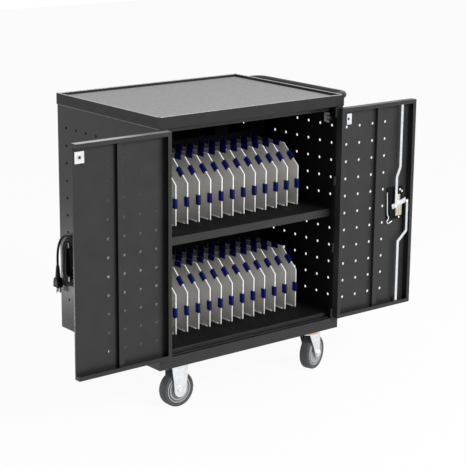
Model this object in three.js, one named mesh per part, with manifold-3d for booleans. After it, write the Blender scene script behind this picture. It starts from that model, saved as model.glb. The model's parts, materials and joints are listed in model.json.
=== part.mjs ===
// Laptop charging cart: a perforated steel cabinet on two rigid and two swivel casters, with a pair of
// front doors (one with a rod lock), slotted bays for laptops on two levels, a power compartment behind
// a partition, a push handle, and a mains lead wound on a cleat.
// Millimetres, +Z up. The origin is on the floor, under the middle of the cart with its front doors open.
// Front is -Y. The handle and the swivel casters are on the +X side.

import * as THREE from 'three';
import { mergeGeometries, mergeVertices } from 'three/addons/utils/BufferGeometryUtils.js';
import Module from 'manifold-3d';

const wasm = await Module();
wasm.setup();

// Overall size
const CART_WIDTH = 640;
const CART_DEPTH = 490;
const CABINET_HEIGHT = 684;
const CASTER_HEIGHT = 133;

// Sheet steel and running gaps
const SHEET = 1.5;
const FIT = 0.3;
const HOLE_SIDES = 6;
const CURVE_SEGMENTS = 6;
const SMALL_ROUND_SIDES = 8;
const ROUND_SIDES = 10;

// Top tray and its mat
const SKIRT_HEIGHT = 31;
const RIM_WIDTH = 6;
const TRAY_DEPTH = 12;
const HEADER_LIP = 30;
const MAT_THICKNESS = 4;

// Side panels
const JAMB_WIDTH = 23;
const JAMB_RETURN = 14;
const HOLE_RADIUS = 4.4;
const HOLE_PITCH = 50;
const PANEL_HOLE_MARGIN = 40;
const FIRST_HOLE_ROW = 91;

// Base
const RAIL_HEIGHT = 32;
const FLOOR_HEIGHT = 44;
const STEP_DEPTH = 23;
const BASE_LIP = 98;

// Shelf and partition
const SHELF_HEIGHT = 354;
const SHELF_FLANGE = 22;
const SHELF_RETURN = 12;
const POWER_DEPTH = 149.2;
const PARTITION_FLANGE = 20;
const CABLE_SLOT_WIDTH = 520;
const CABLE_SLOT_HEIGHT = 40;
const CABLE_SLOT_RISE = 185;

// Laptop dividers and the cable clips on their edges
const DIVIDER_PITCH = 39.6;
const END_BAY = 50;
const DIVIDER_THICKNESS = 4;
const DIVIDER_LENGTH = 219.4;
const DIVIDER_FRONT_HEIGHT = 114;
const DIVIDER_HEIGHT = 172;
const DIVIDER_SLOPE_DEPTH = 65;
const CLIP_LENGTH = 28;
const CLIP_WIDTH = 8.5;
const CLIP_GRIP = 12;
const CLIP_PROUD = 3;
const FRONT_CLIP_RISE = 48;

// Doors and their hinges
const DOOR_DEPTH = 21;
const DOOR_LIP = 11;
const MEETING_EDGE_DEPTH = 5;
const DOOR_CLEARANCE = 4;
const DOOR_MEETING_GAP = 2;
const DOOR_FIRST_HOLE = 38;
const DOOR_HOLE_COLUMNS = 4;
const STIFFENER_INSET = 136.2;
const STIFFENER_WIDTH = 16;
const STIFFENER_DEPTH = 11;
const STIFFENER_END_GAP = 8;
const HINGE_OFFSET = 2;
const HINGE_PROUD = 1.5;
const HINGE_COUNT = 4;
const KNUCKLE_RADIUS = 4;
const KNUCKLE_HEIGHT = 13;
const HINGE_PIN_RADIUS = 1.6;
const HINGE_PIN_REACH = 10;

// Rod lock on the right door, measured from its free edge and from the cabinet's underside
const LOCK_INSET = 49.2;
const LOCK_HEIGHT = 344;
const CASE_DEPTH = 8.7;
const CASE_BACK_WIDTH = 40;
const CASE_FRONT_WIDTH = 20;
const CASE_HEIGHT = 96;
const LATCH_HEIGHT = 64;
const LATCH_DEPTH = 4;
const SPINDLE_RADIUS = 6;
const CAM_REACH = 28;
const CAM_RISE = 8;
const CAM_WIDTH = 14;
const CAM_THICKNESS = 3;
const ROD_WIDTH = 9;
const ROD_THICKNESS = 3;
const ROD_TRAVEL = 20;
const ROD_END_INSET = 8;
const UPPER_ROD_SIDE = -2.5;
const UPPER_FOOT_SIDE = -15;
const UPPER_FOOT_DROP = 12;
const UPPER_JOG_RISE = 81;
const LOWER_ROD_SIDE = -2.5;
const LOWER_HEAD_SIDE = 31;
const LOWER_HEAD_RISE = 8;
const LOWER_JOG_DROP = 86;
const ROD_JOG = 29;
const ROSE_RADIUS = 17;
const ROSE_THICKNESS = 4;
const STEM_LENGTH = 22;
const GRIP_LENGTH = 84;
const GRIP_WIDTH = 16;
const GRIP_THICKNESS = 10;

// Catch on the right side panel
const CATCH_FRONT = 38;
const CATCH_DEPTH = 22;
const CATCH_HEIGHT = 27;
const CATCH_DROP = 52;
const CATCH_THICKNESS = 14;
const CATCH_SLOT = 7;

// Push handle
const HANDLE_RADIUS = 10;
const HANDLE_STANDOFF = 58;
const HANDLE_INSET = 50;
const HANDLE_BEND = 32;
const HANDLE_DROP = 12;
const HANDLE_STEPS = 26;

// Power strip in the rear compartment
const STRIP_WIDTH = 52;
const STRIP_DEPTH = 38;
const STRIP_LENGTH = 500;
const STRIP_X = 150;
const STRIP_RISE = 90;
const OUTLET_COUNT = 8;
const OUTLET_WIDTH = 32;
const OUTLET_HEIGHT = 26;
const OUTLET_DEPTH = 3;

// Casters
const WHEEL_RADIUS = 50;
const WHEEL_WIDTH = 31;
const WHEEL_SIDES = 20;
const HUB_RADIUS = 38;
const HUB_DISH = 4;
const TREAD_HALF = 10;
const AXLE_RADIUS = 6;
const RIGID_INSET = 95;
const SWIVEL_INSET = 67.5;
const CASTER_INSET = 55;
const SWIVEL_TRAIL = 25;
const SWIVEL_REST = THREE.MathUtils.degToRad(20);
const PLATE_LENGTH = 100;
const PLATE_WIDTH = 80;
const PLATE_THICKNESS = 3;
const FORK_SHEET = 3;
const FORK_GAP = 2.5;
const RIGID_FORK_TOP = 56;
const RIGID_FORK_FOOT = 20;
const SWIVEL_FORK_LEAD = 41;
const SWIVEL_FORK_FOOT = 13;
const RACE_RADIUS = 29;
const RACE_HEIGHT = 9;
const CROWN_THICKNESS = 4;
const KINGPIN_RADIUS = 6;
const KINGPIN_NUT_RADIUS = 10;
const KINGPIN_NUT_HEIGHT = 6;
const BOLT_HEAD_RADIUS = 9;
const BOLT_HEAD_HEIGHT = 4;

// Mains lead: its gland, the cleat it is wound on, its hank, tail and plug
const CORD_RADIUS = 3.5;
const CORD_SIDES = 6;
const HANK_LOOPS = 3;
const LOOP_STEPS = 24;
const HANK_INNER_RADIUS = 21.5;
const HANK_PITCH = 7.6;
const HANK_LAYER_PITCH = 7.7;
const HANK_STANDOFF = 7.5;
const HANK_INSET = 78.2;
const HANK_LOW = 186;
const HANK_HIGH = 242;
const HANK_CLIMB = 0.8;
const HANK_LEAD = 14;
const CLEAT_STRIP = 2;
const CLEAT_WIDTH = 8;
const CLEAT_RADIUS = 16.8;
const CLEAT_LIP = 12;
const GLAND_BOOT = 26;
const GLAND_BOX = 28;
const GLAND_TIP_RADIUS = 4.6;
const GLAND_ROOT_RADIUS = 6.2;
const PLUG_SPREAD = 70;
const PLUG_TOP = 188;
const PLUG_BOOT = 36;
const PLUG_BOOT_TIP_RADIUS = 4.8;
const PLUG_BOOT_ROOT_RADIUS = 8;
const PLUG_BODY = 28;
const PLUG_WIDTH = 25;
const PLUG_THICKNESS = 19;
const PLUG_NECK = 0.7;
const BLADE_LENGTH = 16;
const BLADE_WIDTH = 6.3;
const BLADE_THICKNESS = 1.6;
const BLADE_SPACING = 12.7;
const TAIL_STEPS = 14;
const EARTH_PIN_RADIUS = 2.4;
const EARTH_PIN_OFFSET = 6;

// Heights and faces that several pieces share
const BASE_Z = CASTER_HEIGHT;
const TOP_Z = BASE_Z + CABINET_HEIGHT;
const SKIRT_Z = TOP_Z - SKIRT_HEIGHT;
const DECK_Z = TOP_Z - TRAY_DEPTH;
const PANEL_TOP_Z = DECK_Z - SHEET - FIT;
const PANEL_X = CART_WIDTH / 2 - SHEET - FIT;
const PANEL_Y = CART_DEPTH / 2 - SHEET - FIT;
const INNER_X = PANEL_X - SHEET - FIT;
const JAMB_X = PANEL_X - JAMB_WIDTH;
const STEP_Y = PANEL_Y - STEP_DEPTH;
const FLOOR_Z = BASE_Z + FLOOR_HEIGHT;
const SHELF_Z = BASE_Z + SHELF_HEIGHT;
const PARTITION_Y = PANEL_Y - POWER_DEPTH;
const DOOR_BOTTOM_Z = BASE_Z + RAIL_HEIGHT + DOOR_CLEARANCE;
const DOOR_TOP_Z = SKIRT_Z - DOOR_CLEARANCE;
const HINGE_X = JAMB_X - HINGE_OFFSET;
const HINGE_Y = PANEL_Y + HINGE_PROUD;
const DOOR_REACH = HINGE_X - DOOR_MEETING_GAP / 2;
const DOOR_BACK = HINGE_PROUD + DOOR_DEPTH;
const STIFFENER_CENTRE = DOOR_REACH - STIFFENER_INSET;
const LOCK_REACH = DOOR_REACH - LOCK_INSET;
const LOCK_Z = BASE_Z + LOCK_HEIGHT;
const CASE_Y = HINGE_PROUD + SHEET + FIT;
const CAM_Y = CASE_Y + CASE_DEPTH + FIT;
const ROD_Y = CAM_Y + CAM_THICKNESS + FIT;
const RIGID_X = CART_WIDTH / 2 - RIGID_INSET;
const SWIVEL_X = CART_WIDTH / 2 - SWIVEL_INSET;
const CASTER_Y = CART_DEPTH / 2 - CASTER_INSET;
const PLATE_Z = BASE_Z - FIT;
const HANDLE_HALF_SPAN = CART_DEPTH / 2 - HANDLE_INSET;
const FORK_Y = WHEEL_WIDTH / 2 + FORK_GAP;
const FRONT_REACH = HINGE_Y + DOOR_BACK;
const REAR_REACH = HINGE_Y + KNUCKLE_RADIUS * Math.cos(Math.PI / HOLE_SIDES);

// Finishes
const FINISHES = {
  blackSteel: { color: 0x2e2e2f, roughness: 0.55, metalness: 0.2 },
  matGrey: { color: 0x9a9a9a, roughness: 0.9, metalness: 0 },
  offWhite: { color: 0xd9d7d0, roughness: 0.6, metalness: 0 },
  zinc: { color: 0xc9cdd1, roughness: 0.3, metalness: 0.9 },
  tyre: { color: 0x4a4c50, roughness: 0.7, metalness: 0 },
  blackPlastic: { color: 0x151515, roughness: 0.6, metalness: 0 },
};

// Shape helpers

function axisFrame(axis) {
  const [x, y, z] = [new THREE.Vector3(1, 0, 0), new THREE.Vector3(0, 1, 0), new THREE.Vector3(0, 0, 1)];
  if (axis === 'x') return new THREE.Matrix4().makeBasis(y, z, x);
  if (axis === 'y') return new THREE.Matrix4().makeBasis(x, z, y.negate());
  return new THREE.Matrix4();
}

// Extrudes an outline along an axis: (y, z) outlines along x, (x, z) along y, (x, y) along z.
function prismGeometry(axis, outline, low, high) {
  const shape = outline instanceof THREE.Shape ? outline : new THREE.Shape(outline);
  const geometry = new THREE.ExtrudeGeometry(shape, {
    depth: high - low,
    bevelEnabled: false,
    curveSegments: CURVE_SEGMENTS,
  });
  geometry.applyMatrix4(axisFrame(axis));
  const shift = axis === 'y' ? high : low;
  geometry.translate(axis === 'x' ? shift : 0, axis === 'y' ? shift : 0, axis === 'z' ? shift : 0);
  return geometry;
}

function solid(geometry) {
  const bare = geometry.clone();
  bare.deleteAttribute('normal');
  bare.deleteAttribute('uv');
  const merged = mergeVertices(bare);
  return new wasm.Manifold(new wasm.Mesh({
    numProp: 3,
    vertProperties: new Float32Array(merged.attributes.position.array),
    triVerts: new Uint32Array(merged.index.array),
  }));
}

function prism(axis, outline, low, high) {
  return solid(prismGeometry(axis, outline, low, high));
}

function block(x0, x1, y0, y1, z0, z1) {
  const box = new THREE.BoxGeometry(Math.abs(x1 - x0), Math.abs(y1 - y0), Math.abs(z1 - z0));
  return solid(box.translate((x0 + x1) / 2, (y0 + y1) / 2, (z0 + z1) / 2));
}

function polygon(centre, radius, sides) {
  return Array.from({ length: sides }, (_, i) => {
    const angle = (2 * Math.PI * i) / sides;
    return new THREE.Vector2(centre[0] + radius * Math.cos(angle), centre[1] + radius * Math.sin(angle));
  });
}

function roundBar(axis, centre, radius, low, high, sides = ROUND_SIDES) {
  return prism(axis, polygon(centre, radius, sides), low, high);
}

// The corner radius of a polygon whose flats clear a round of the given radius.
function aroundRound(radius, sides) {
  return radius / Math.cos(Math.PI / sides);
}

// Many equal holes as one tool, so that a perforated sheet is cut once.
function holeTool(axis, centres, radius, low, high) {
  return solid(mergeGeometries(
    centres.map((centre) => prismGeometry(axis, polygon(centre, radius, HOLE_SIDES), low, high)),
  ));
}

// Moves every corner of an open path sideways by a distance, to the left of its direction.
function offsetPath(path, distance) {
  return path.map((point, i) => {
    const before = path[Math.max(i - 1, 0)];
    const after = path[Math.min(i + 1, path.length - 1)];
    const into = point.clone().sub(i > 0 ? before : after).multiplyScalar(i > 0 ? 1 : -1).normalize();
    const out = after.clone().sub(i < path.length - 1 ? point : before).normalize();
    const normal = new THREE.Vector2(-into.y - out.y, into.x + out.x).normalize();
    const miter = distance / normal.dot(new THREE.Vector2(-into.y, into.x));
    return point.clone().addScaledVector(normal, miter);
  });
}

// The outline of a folded sheet whose outer face follows a path.
function foldedSheet(corners, thickness) {
  const path = corners.map(([u, v]) => new THREE.Vector2(u, v));
  return [...path, ...offsetPath(path, thickness).reverse()];
}

// The outline of a flat bar of a width whose middle follows a path.
function flatBar(corners, width) {
  const path = corners.map(([u, v]) => new THREE.Vector2(u, v));
  return [...offsetPath(path, width / 2), ...offsetPath(path, -width / 2).reverse()];
}

function join(solids) {
  return solids.reduce((whole, piece) => whole.add(piece));
}

function cut(body, tools) {
  return tools.reduce((rest, tool) => rest.subtract(tool), body);
}

function geometryOf(body) {
  const mesh = body.getMesh();
  const geometry = new THREE.BufferGeometry();
  geometry.setAttribute('position', new THREE.BufferAttribute(new Float32Array(mesh.vertProperties), 3));
  geometry.setIndex(new THREE.BufferAttribute(new Uint32Array(mesh.triVerts), 1));
  geometry.computeVertexNormals();
  return geometry;
}

function piece(name, shape, finish) {
  const geometry = shape instanceof THREE.BufferGeometry ? shape : geometryOf(shape);
  const mesh = new THREE.Mesh(geometry, new THREE.MeshStandardMaterial(finish));
  mesh.name = name;
  return mesh;
}

function spaced(first, pitch, count) {
  return Array.from({ length: count }, (_, i) => first + pitch * i);
}

const HOLE_ROWS = spaced(
  BASE_Z + FIRST_HOLE_ROW,
  HOLE_PITCH,
  1 + Math.floor((DOOR_TOP_Z - PANEL_HOLE_MARGIN - BASE_Z - FIRST_HOLE_ROW) / HOLE_PITCH),
);
const HINGE_ZS = spaced(
  DOOR_BOTTOM_Z + KNUCKLE_HEIGHT,
  (DOOR_TOP_Z - DOOR_BOTTOM_Z - 2 * KNUCKLE_HEIGHT) / (HINGE_COUNT - 1),
  HINGE_COUNT,
);

// Hinges: each has a lower knuckle with a pin on the frame and an upper knuckle with a bore on the door.

function frameKnuckle(centre, z) {
  const barrel = roundBar('z', centre, KNUCKLE_RADIUS, z - KNUCKLE_HEIGHT, z - FIT / 2, HOLE_SIDES);
  const pin = roundBar('z', centre, HINGE_PIN_RADIUS, z - KNUCKLE_HEIGHT, z + HINGE_PIN_REACH, HOLE_SIDES);
  return barrel.add(pin);
}

function doorKnuckle(centre, z) {
  const barrel = roundBar('z', centre, KNUCKLE_RADIUS, z + FIT / 2, z + KNUCKLE_HEIGHT, HOLE_SIDES);
  const bore = aroundRound(HINGE_PIN_RADIUS + FIT, HOLE_SIDES);
  return barrel.subtract(roundBar('z', centre, bore, z, z + HINGE_PIN_REACH + FIT, HOLE_SIDES));
}

// Room for the other leaf's knuckle, and for this leaf's turning corner.
function knuckleRelief(centre, low, high) {
  const radius = aroundRound(KNUCKLE_RADIUS + FIT, HOLE_SIDES);
  return roundBar('z', centre, radius, low - FIT / 2, high + FIT / 2, HOLE_SIDES);
}

// Cabinet

function sidePanel(side, hingeYs) {
  const path = [
    [JAMB_X, JAMB_RETURN - PANEL_Y],
    [JAMB_X, -PANEL_Y],
    [PANEL_X, -PANEL_Y],
    [PANEL_X, PANEL_Y],
    [JAMB_X, PANEL_Y],
    [JAMB_X, PANEL_Y - JAMB_RETURN],
  ].map(([x, y]) => [side * x, y]);
  const sheet = prism('z', foldedSheet(path, side * SHEET), BASE_Z, PANEL_TOP_Z);
  const columns = Math.floor((PANEL_Y - PANEL_HOLE_MARGIN) / HOLE_PITCH);
  const ys = spaced(-columns * HOLE_PITCH, HOLE_PITCH, 2 * columns + 1);
  const centres = ys.flatMap((y) => HOLE_ROWS.map((z) => [y, z]));
  const face = side * PANEL_X;
  const holes = holeTool('x', centres, HOLE_RADIUS, face - 2 * SHEET, face + 2 * SHEET);
  const hinges = hingeYs.flatMap((y) => HINGE_ZS.map((z) => ({ centre: [side * HINGE_X, y], z })));
  const reliefs = hinges.map(({ centre, z }) => knuckleRelief(centre, z, z + KNUCKLE_HEIGHT));
  return join([cut(sheet, [holes, ...reliefs]), ...hinges.map(({ centre, z }) => frameKnuckle(centre, z))]);
}

function rodSlot(x, z) {
  const y = -HINGE_Y + ROD_Y + ROD_THICKNESS / 2;
  const halfWidth = ROD_WIDTH / 2 + 2 * SHEET;
  const halfDepth = ROD_THICKNESS / 2 + SHEET;
  return block(x - halfWidth, x + halfWidth, y - halfDepth, y + halfDepth, z - 2 * SHEET, z + 2 * SHEET);
}

function basePan() {
  const rail = BASE_Z + RAIL_HEIGHT;
  const lip = PANEL_Y - BASE_LIP;
  const path = [
    [-lip, BASE_Z],
    [-PANEL_Y, BASE_Z],
    [-PANEL_Y, rail],
    [-STEP_Y, rail],
    [-STEP_Y, FLOOR_Z],
    [STEP_Y, FLOOR_Z],
    [STEP_Y, rail],
    [PANEL_Y, rail],
    [PANEL_Y, BASE_Z],
    [lip, BASE_Z],
  ];
  const pan = prism('x', foldedSheet(path, -SHEET), -INNER_X, INNER_X);
  const notchY = PANEL_Y - JAMB_RETURN - FIT;
  const notches = [-1, 1].flatMap((side) => [-1, 1].map((end) => block(
    side * (JAMB_X - FIT), side * CART_WIDTH, end * notchY, end * CART_DEPTH, 0, TOP_Z,
  )));
  return cut(pan, [...notches, rodSlot(HINGE_X - LOCK_REACH - LOWER_ROD_SIDE, rail)]);
}

function topTray() {
  const [x, y] = [CART_WIDTH / 2, CART_DEPTH / 2];
  const outer = block(-x, x, -y, y, SKIRT_Z, TOP_Z);
  const under = block(SHEET - x, x - SHEET, SHEET - y, y - SHEET, BASE_Z, DECK_Z - SHEET);
  const recess = block(RIM_WIDTH - x, x - RIM_WIDTH, RIM_WIDTH - y, y - RIM_WIDTH, DECK_Z, TOP_Z + SHEET);
  const lipX = JAMB_X - FIT;
  const lips = [-1, 1].map((end) => block(
    -lipX, lipX, end * (y - SHEET / 2), end * (y - HEADER_LIP), SKIRT_Z, SKIRT_Z + SHEET,
  ));
  const slot = rodSlot(HINGE_X - LOCK_REACH - UPPER_ROD_SIDE, SKIRT_Z);
  return cut(join([cut(outer, [under, recess]), ...lips]), [slot]);
}

function topMat() {
  const x = CART_WIDTH / 2 - RIM_WIDTH - FIT;
  const y = CART_DEPTH / 2 - RIM_WIDTH - FIT;
  return block(-x, x, -y, y, DECK_Z + FIT, DECK_Z + FIT + MAT_THICKNESS);
}

function midShelf() {
  const under = SHELF_Z - SHELF_FLANGE;
  const back = PARTITION_Y - FIT;
  const path = [
    [SHELF_RETURN - STEP_Y, under],
    [-STEP_Y, under],
    [-STEP_Y, SHELF_Z],
    [back, SHELF_Z],
    [back, under],
  ];
  return prism('x', foldedSheet(path, -SHEET), -INNER_X, INNER_X);
}

function partition() {
  const back = PARTITION_Y + PARTITION_FLANGE;
  const path = [[-INNER_X, back], [-INNER_X, PARTITION_Y], [INNER_X, PARTITION_Y], [INNER_X, back]];
  const sheet = prism('z', foldedSheet(path, SHEET), FLOOR_Z + FIT, PANEL_TOP_Z);
  const half = CABLE_SLOT_WIDTH / 2;
  const slots = [FLOOR_Z, SHELF_Z].map((z) => block(
    -half, half, PARTITION_Y - SHEET, back, z + CABLE_SLOT_RISE, z + CABLE_SLOT_RISE + CABLE_SLOT_HEIGHT,
  ));
  return cut(sheet, slots);
}

// Laptop dividers

function clipAcross(outline) {
  return prism('x', outline, -CLIP_WIDTH / 2, CLIP_WIDTH / 2);
}

// A clip gripping an edge: its middle on the edge, its length along the edge's direction.
function edgeClip(middle, direction) {
  const along = new THREE.Vector2(...direction).normalize().multiplyScalar(CLIP_LENGTH / 2);
  const inward = new THREE.Vector2(along.y, -along.x).normalize();
  const at = new THREE.Vector2(...middle);
  const corner = (end, depth) => at.clone().addScaledVector(along, end).addScaledVector(inward, depth);
  const corners = [[-1, -CLIP_PROUD], [-1, CLIP_GRIP], [1, CLIP_GRIP], [1, -CLIP_PROUD]];
  return clipAcross(corners.map(([end, depth]) => corner(end, depth)));
}

function divider() {
  const back = PARTITION_Y - 2 * FIT;
  const front = back - DIVIDER_LENGTH;
  const peak = front + DIVIDER_SLOPE_DEPTH;
  const outline = [
    [front, 0], [front, DIVIDER_FRONT_HEIGHT], [peak, DIVIDER_HEIGHT], [back, DIVIDER_HEIGHT], [back, 0],
  ].map(([y, z]) => new THREE.Vector2(y, z));
  const half = DIVIDER_THICKNESS / 2;
  const sheet = prism('x', outline, -half, half);
  const slopeMiddle = [(front + peak) / 2, (DIVIDER_FRONT_HEIGHT + DIVIDER_HEIGHT) / 2];
  const slope = [DIVIDER_SLOPE_DEPTH, DIVIDER_HEIGHT - DIVIDER_FRONT_HEIGHT];
  return join([
    sheet,
    edgeClip([front, FRONT_CLIP_RISE + CLIP_LENGTH / 2], [0, 1]),
    edgeClip(slopeMiddle, slope),
  ]);
}

function dividerRow(level, z) {
  const count = 1 + Math.floor((2 * (INNER_X - END_BAY)) / DIVIDER_PITCH);
  const geometry = geometryOf(divider());
  const row = new THREE.Group();
  row.position.z = z + FIT;
  spaced((-(count - 1) * DIVIDER_PITCH) / 2, DIVIDER_PITCH, count).forEach((x, i) => {
    const sheet = piece(`${level}_divider_${String(i + 1).padStart(2, '0')}`, geometry, FINISHES.offWhite);
    sheet.position.x = x;
    row.add(sheet);
  });
  return row;
}

// Doors are modelled shut, with the hinge axis at the origin, the free edge towards `side` and +Y inwards.

function doorPan(side, reach) {
  const near = HINGE_OFFSET;
  const pan = block(side * near, side * reach, HINGE_PROUD, DOOR_BACK, DOOR_BOTTOM_Z, DOOR_TOP_Z);
  const hollow = block(
    side * (near + SHEET), side * (reach - SHEET), HINGE_PROUD + SHEET, DOOR_BACK - SHEET,
    DOOR_BOTTOM_Z + SHEET, DOOR_TOP_Z - SHEET,
  );
  const mouth = block(
    side * (near + DOOR_LIP), side * (reach - DOOR_LIP), HINGE_PROUD + SHEET, DOOR_BACK + SHEET,
    DOOR_BOTTOM_Z + DOOR_LIP, DOOR_TOP_Z - DOOR_LIP,
  );
  const reliefs = HINGE_ZS.map((z) => knuckleRelief([0, 0], z - KNUCKLE_HEIGHT, z));
  return join([cut(pan, [hollow, mouth, ...reliefs]), ...HINGE_ZS.map((z) => doorKnuckle([0, 0], z))]);
}

// A channel spot-welded behind the skin, open at both ends.
function doorStiffener(side) {
  const skin = HINGE_PROUD + SHEET / 2;
  const [near, far] = [STIFFENER_CENTRE - STIFFENER_WIDTH / 2, STIFFENER_CENTRE + STIFFENER_WIDTH / 2];
  const path = [[near, skin], [near, skin + STIFFENER_DEPTH], [far, skin + STIFFENER_DEPTH], [far, skin]];
  const outline = foldedSheet(path.map(([u, y]) => [side * u, y]), -side * SHEET);
  return prism('z', outline, DOOR_BOTTOM_Z + STIFFENER_END_GAP, DOOR_TOP_Z - STIFFENER_END_GAP);
}

function frontDoor(side) {
  const columns = spaced(DOOR_FIRST_HOLE, HOLE_PITCH, DOOR_HOLE_COLUMNS);
  const centres = columns.flatMap((u) => HOLE_ROWS.map((z) => [side * u, z]));
  const holes = holeTool('y', centres, HOLE_RADIUS, 0, HINGE_PROUD + 2 * SHEET);
  return cut(doorPan(side, DOOR_REACH), [holes]).add(doorStiffener(side));
}

// The right door closes over the left one, whose free edge is only turned in.
function leftDoor() {
  const meetingSide = block(
    DOOR_REACH - DOOR_LIP - FIT, DOOR_REACH + SHEET, HINGE_PROUD + MEETING_EDGE_DEPTH, DOOR_BACK + SHEET,
    DOOR_BOTTOM_Z + DOOR_LIP, DOOR_TOP_Z - DOOR_LIP,
  );
  return cut(frontDoor(1), [meetingSide]);
}

// Slot in the door's own end flange for a lock rod.
function flangeSlot(u, z) {
  const half = ROD_WIDTH / 2 + FIT;
  return block(-u - half, -u + half, ROD_Y - FIT, ROD_Y + ROD_THICKNESS + FIT, z - 2 * SHEET, z + 2 * SHEET);
}

function rightDoor() {
  const spindleHole = aroundRound(SPINDLE_RADIUS + FIT, ROUND_SIDES);
  return cut(frontDoor(-1), [
    roundBar('y', [-LOCK_REACH, LOCK_Z], spindleHole, 0, HINGE_PROUD + 2 * SHEET),
    flangeSlot(LOCK_REACH + UPPER_ROD_SIDE, DOOR_TOP_Z),
    flangeSlot(LOCK_REACH + LOWER_ROD_SIDE, DOOR_BOTTOM_Z),
  ]);
}

function rearDoor() {
  return doorPan(1, HINGE_X + JAMB_X - HINGE_OFFSET);
}

// Rod lock, in the right door's frame

function lockCase() {
  const spindleHole = aroundRound(SPINDLE_RADIUS + FIT, ROUND_SIDES);
  const back = block(
    CASE_BACK_WIDTH - LOCK_REACH, -LOCK_REACH - CASE_FRONT_WIDTH, CASE_Y, CASE_Y + CASE_DEPTH - LATCH_DEPTH,
    LOCK_Z - CASE_HEIGHT / 2, LOCK_Z + CASE_HEIGHT / 2,
  );
  const latch = block(
    CASE_FRONT_WIDTH / 2 - LOCK_REACH, -LOCK_REACH - CASE_FRONT_WIDTH, CASE_Y, CASE_Y + CASE_DEPTH,
    LOCK_Z - LATCH_HEIGHT / 2, LOCK_Z + LATCH_HEIGHT / 2,
  );
  return cut(back.add(latch), [
    roundBar('y', [-LOCK_REACH, LOCK_Z], spindleHole, 0, CASE_Y + CASE_DEPTH + SHEET),
  ]);
}

// Grip, rose, spindle and cam turn as one.
function lockHandle() {
  const at = [-LOCK_REACH, LOCK_Z];
  const rose = HINGE_PROUD - FIT;
  const stem = rose - ROSE_THICKNESS - STEM_LENGTH;
  const grip = new THREE.Shape();
  const straight = (GRIP_LENGTH - GRIP_WIDTH) / 2;
  grip.absarc(at[0] + straight, at[1], GRIP_WIDTH / 2, -Math.PI / 2, Math.PI / 2, false);
  grip.absarc(at[0] - straight, at[1], GRIP_WIDTH / 2, Math.PI / 2, (3 * Math.PI) / 2, false);
  const cam = [[at[0] - CAM_REACH, at[1] + CAM_RISE], [at[0] + CAM_REACH, at[1] - CAM_RISE]];
  return join([
    prism('y', grip, stem - GRIP_THICKNESS, stem),
    roundBar('y', at, ROSE_RADIUS / 2, stem - GRIP_THICKNESS / 2, rose),
    roundBar('y', at, ROSE_RADIUS, rose - ROSE_THICKNESS, rose),
    roundBar('y', at, SPINDLE_RADIUS, rose - ROSE_THICKNESS, CAM_Y + CAM_THICKNESS),
    prism('y', flatBar(cam, CAM_WIDTH), CAM_Y, CAM_Y + CAM_THICKNESS),
  ]);
}

function lockRod(corners) {
  const path = corners.map(([sideways, z]) => [-LOCK_REACH - sideways, z]);
  return prism('y', flatBar(path, ROD_WIDTH), ROD_Y, ROD_Y + ROD_THICKNESS);
}

function upperRod() {
  return lockRod([
    [UPPER_ROD_SIDE, DOOR_TOP_Z - ROD_END_INSET],
    [UPPER_ROD_SIDE, LOCK_Z + UPPER_JOG_RISE + ROD_JOG],
    [UPPER_FOOT_SIDE, LOCK_Z + UPPER_JOG_RISE],
    [UPPER_FOOT_SIDE, LOCK_Z - UPPER_FOOT_DROP],
  ]);
}

function lowerRod() {
  return lockRod([
    [LOWER_HEAD_SIDE, LOCK_Z + LOWER_HEAD_RISE],
    [LOWER_HEAD_SIDE, LOCK_Z - LOWER_JOG_DROP],
    [LOWER_ROD_SIDE, LOCK_Z - LOWER_JOG_DROP - ROD_JOG],
    [LOWER_ROD_SIDE, DOOR_BOTTOM_Z + ROD_END_INSET],
  ]);
}

function doorCatch() {
  const y = CATCH_FRONT - PANEL_Y;
  const z = SKIRT_Z - CATCH_DROP;
  const body = block(INNER_X, INNER_X - CATCH_THICKNESS, y, y + CATCH_DEPTH, z, z + CATCH_HEIGHT);
  const slot = block(
    INNER_X - CATCH_THICKNESS, INNER_X - CATCH_THICKNESS / 2, y - SHEET, y + CATCH_DEPTH / 2,
    z + (CATCH_HEIGHT - CATCH_SLOT) / 2, z + (CATCH_HEIGHT + CATCH_SLOT) / 2,
  );
  return cut(body, [slot]);
}

// Push handle: a tube bent twice, its ends square on the skirt

function pushHandle() {
  const z = TOP_Z - HANDLE_DROP;
  const near = CART_WIDTH / 2 + FIT;
  const far = CART_WIDTH / 2 + HANDLE_STANDOFF;
  const at = (x, y) => new THREE.Vector3(x, y, z);
  const path = new THREE.CurvePath();
  const [a, b] = [-HANDLE_HALF_SPAN, HANDLE_HALF_SPAN];
  path.add(new THREE.LineCurve3(at(near, a), at(far - HANDLE_BEND, a)));
  path.add(new THREE.QuadraticBezierCurve3(at(far - HANDLE_BEND, a), at(far, a), at(far, a + HANDLE_BEND)));
  path.add(new THREE.LineCurve3(at(far, a + HANDLE_BEND), at(far, b - HANDLE_BEND)));
  path.add(new THREE.QuadraticBezierCurve3(at(far, b - HANDLE_BEND), at(far, b), at(far - HANDLE_BEND, b)));
  path.add(new THREE.LineCurve3(at(far - HANDLE_BEND, b), at(near, b)));
  const section = new THREE.Shape(polygon([0, 0], HANDLE_RADIUS, ROUND_SIDES));
  return new THREE.ExtrudeGeometry(section, { steps: HANDLE_STEPS, extrudePath: path, bevelEnabled: false });
}

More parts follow.
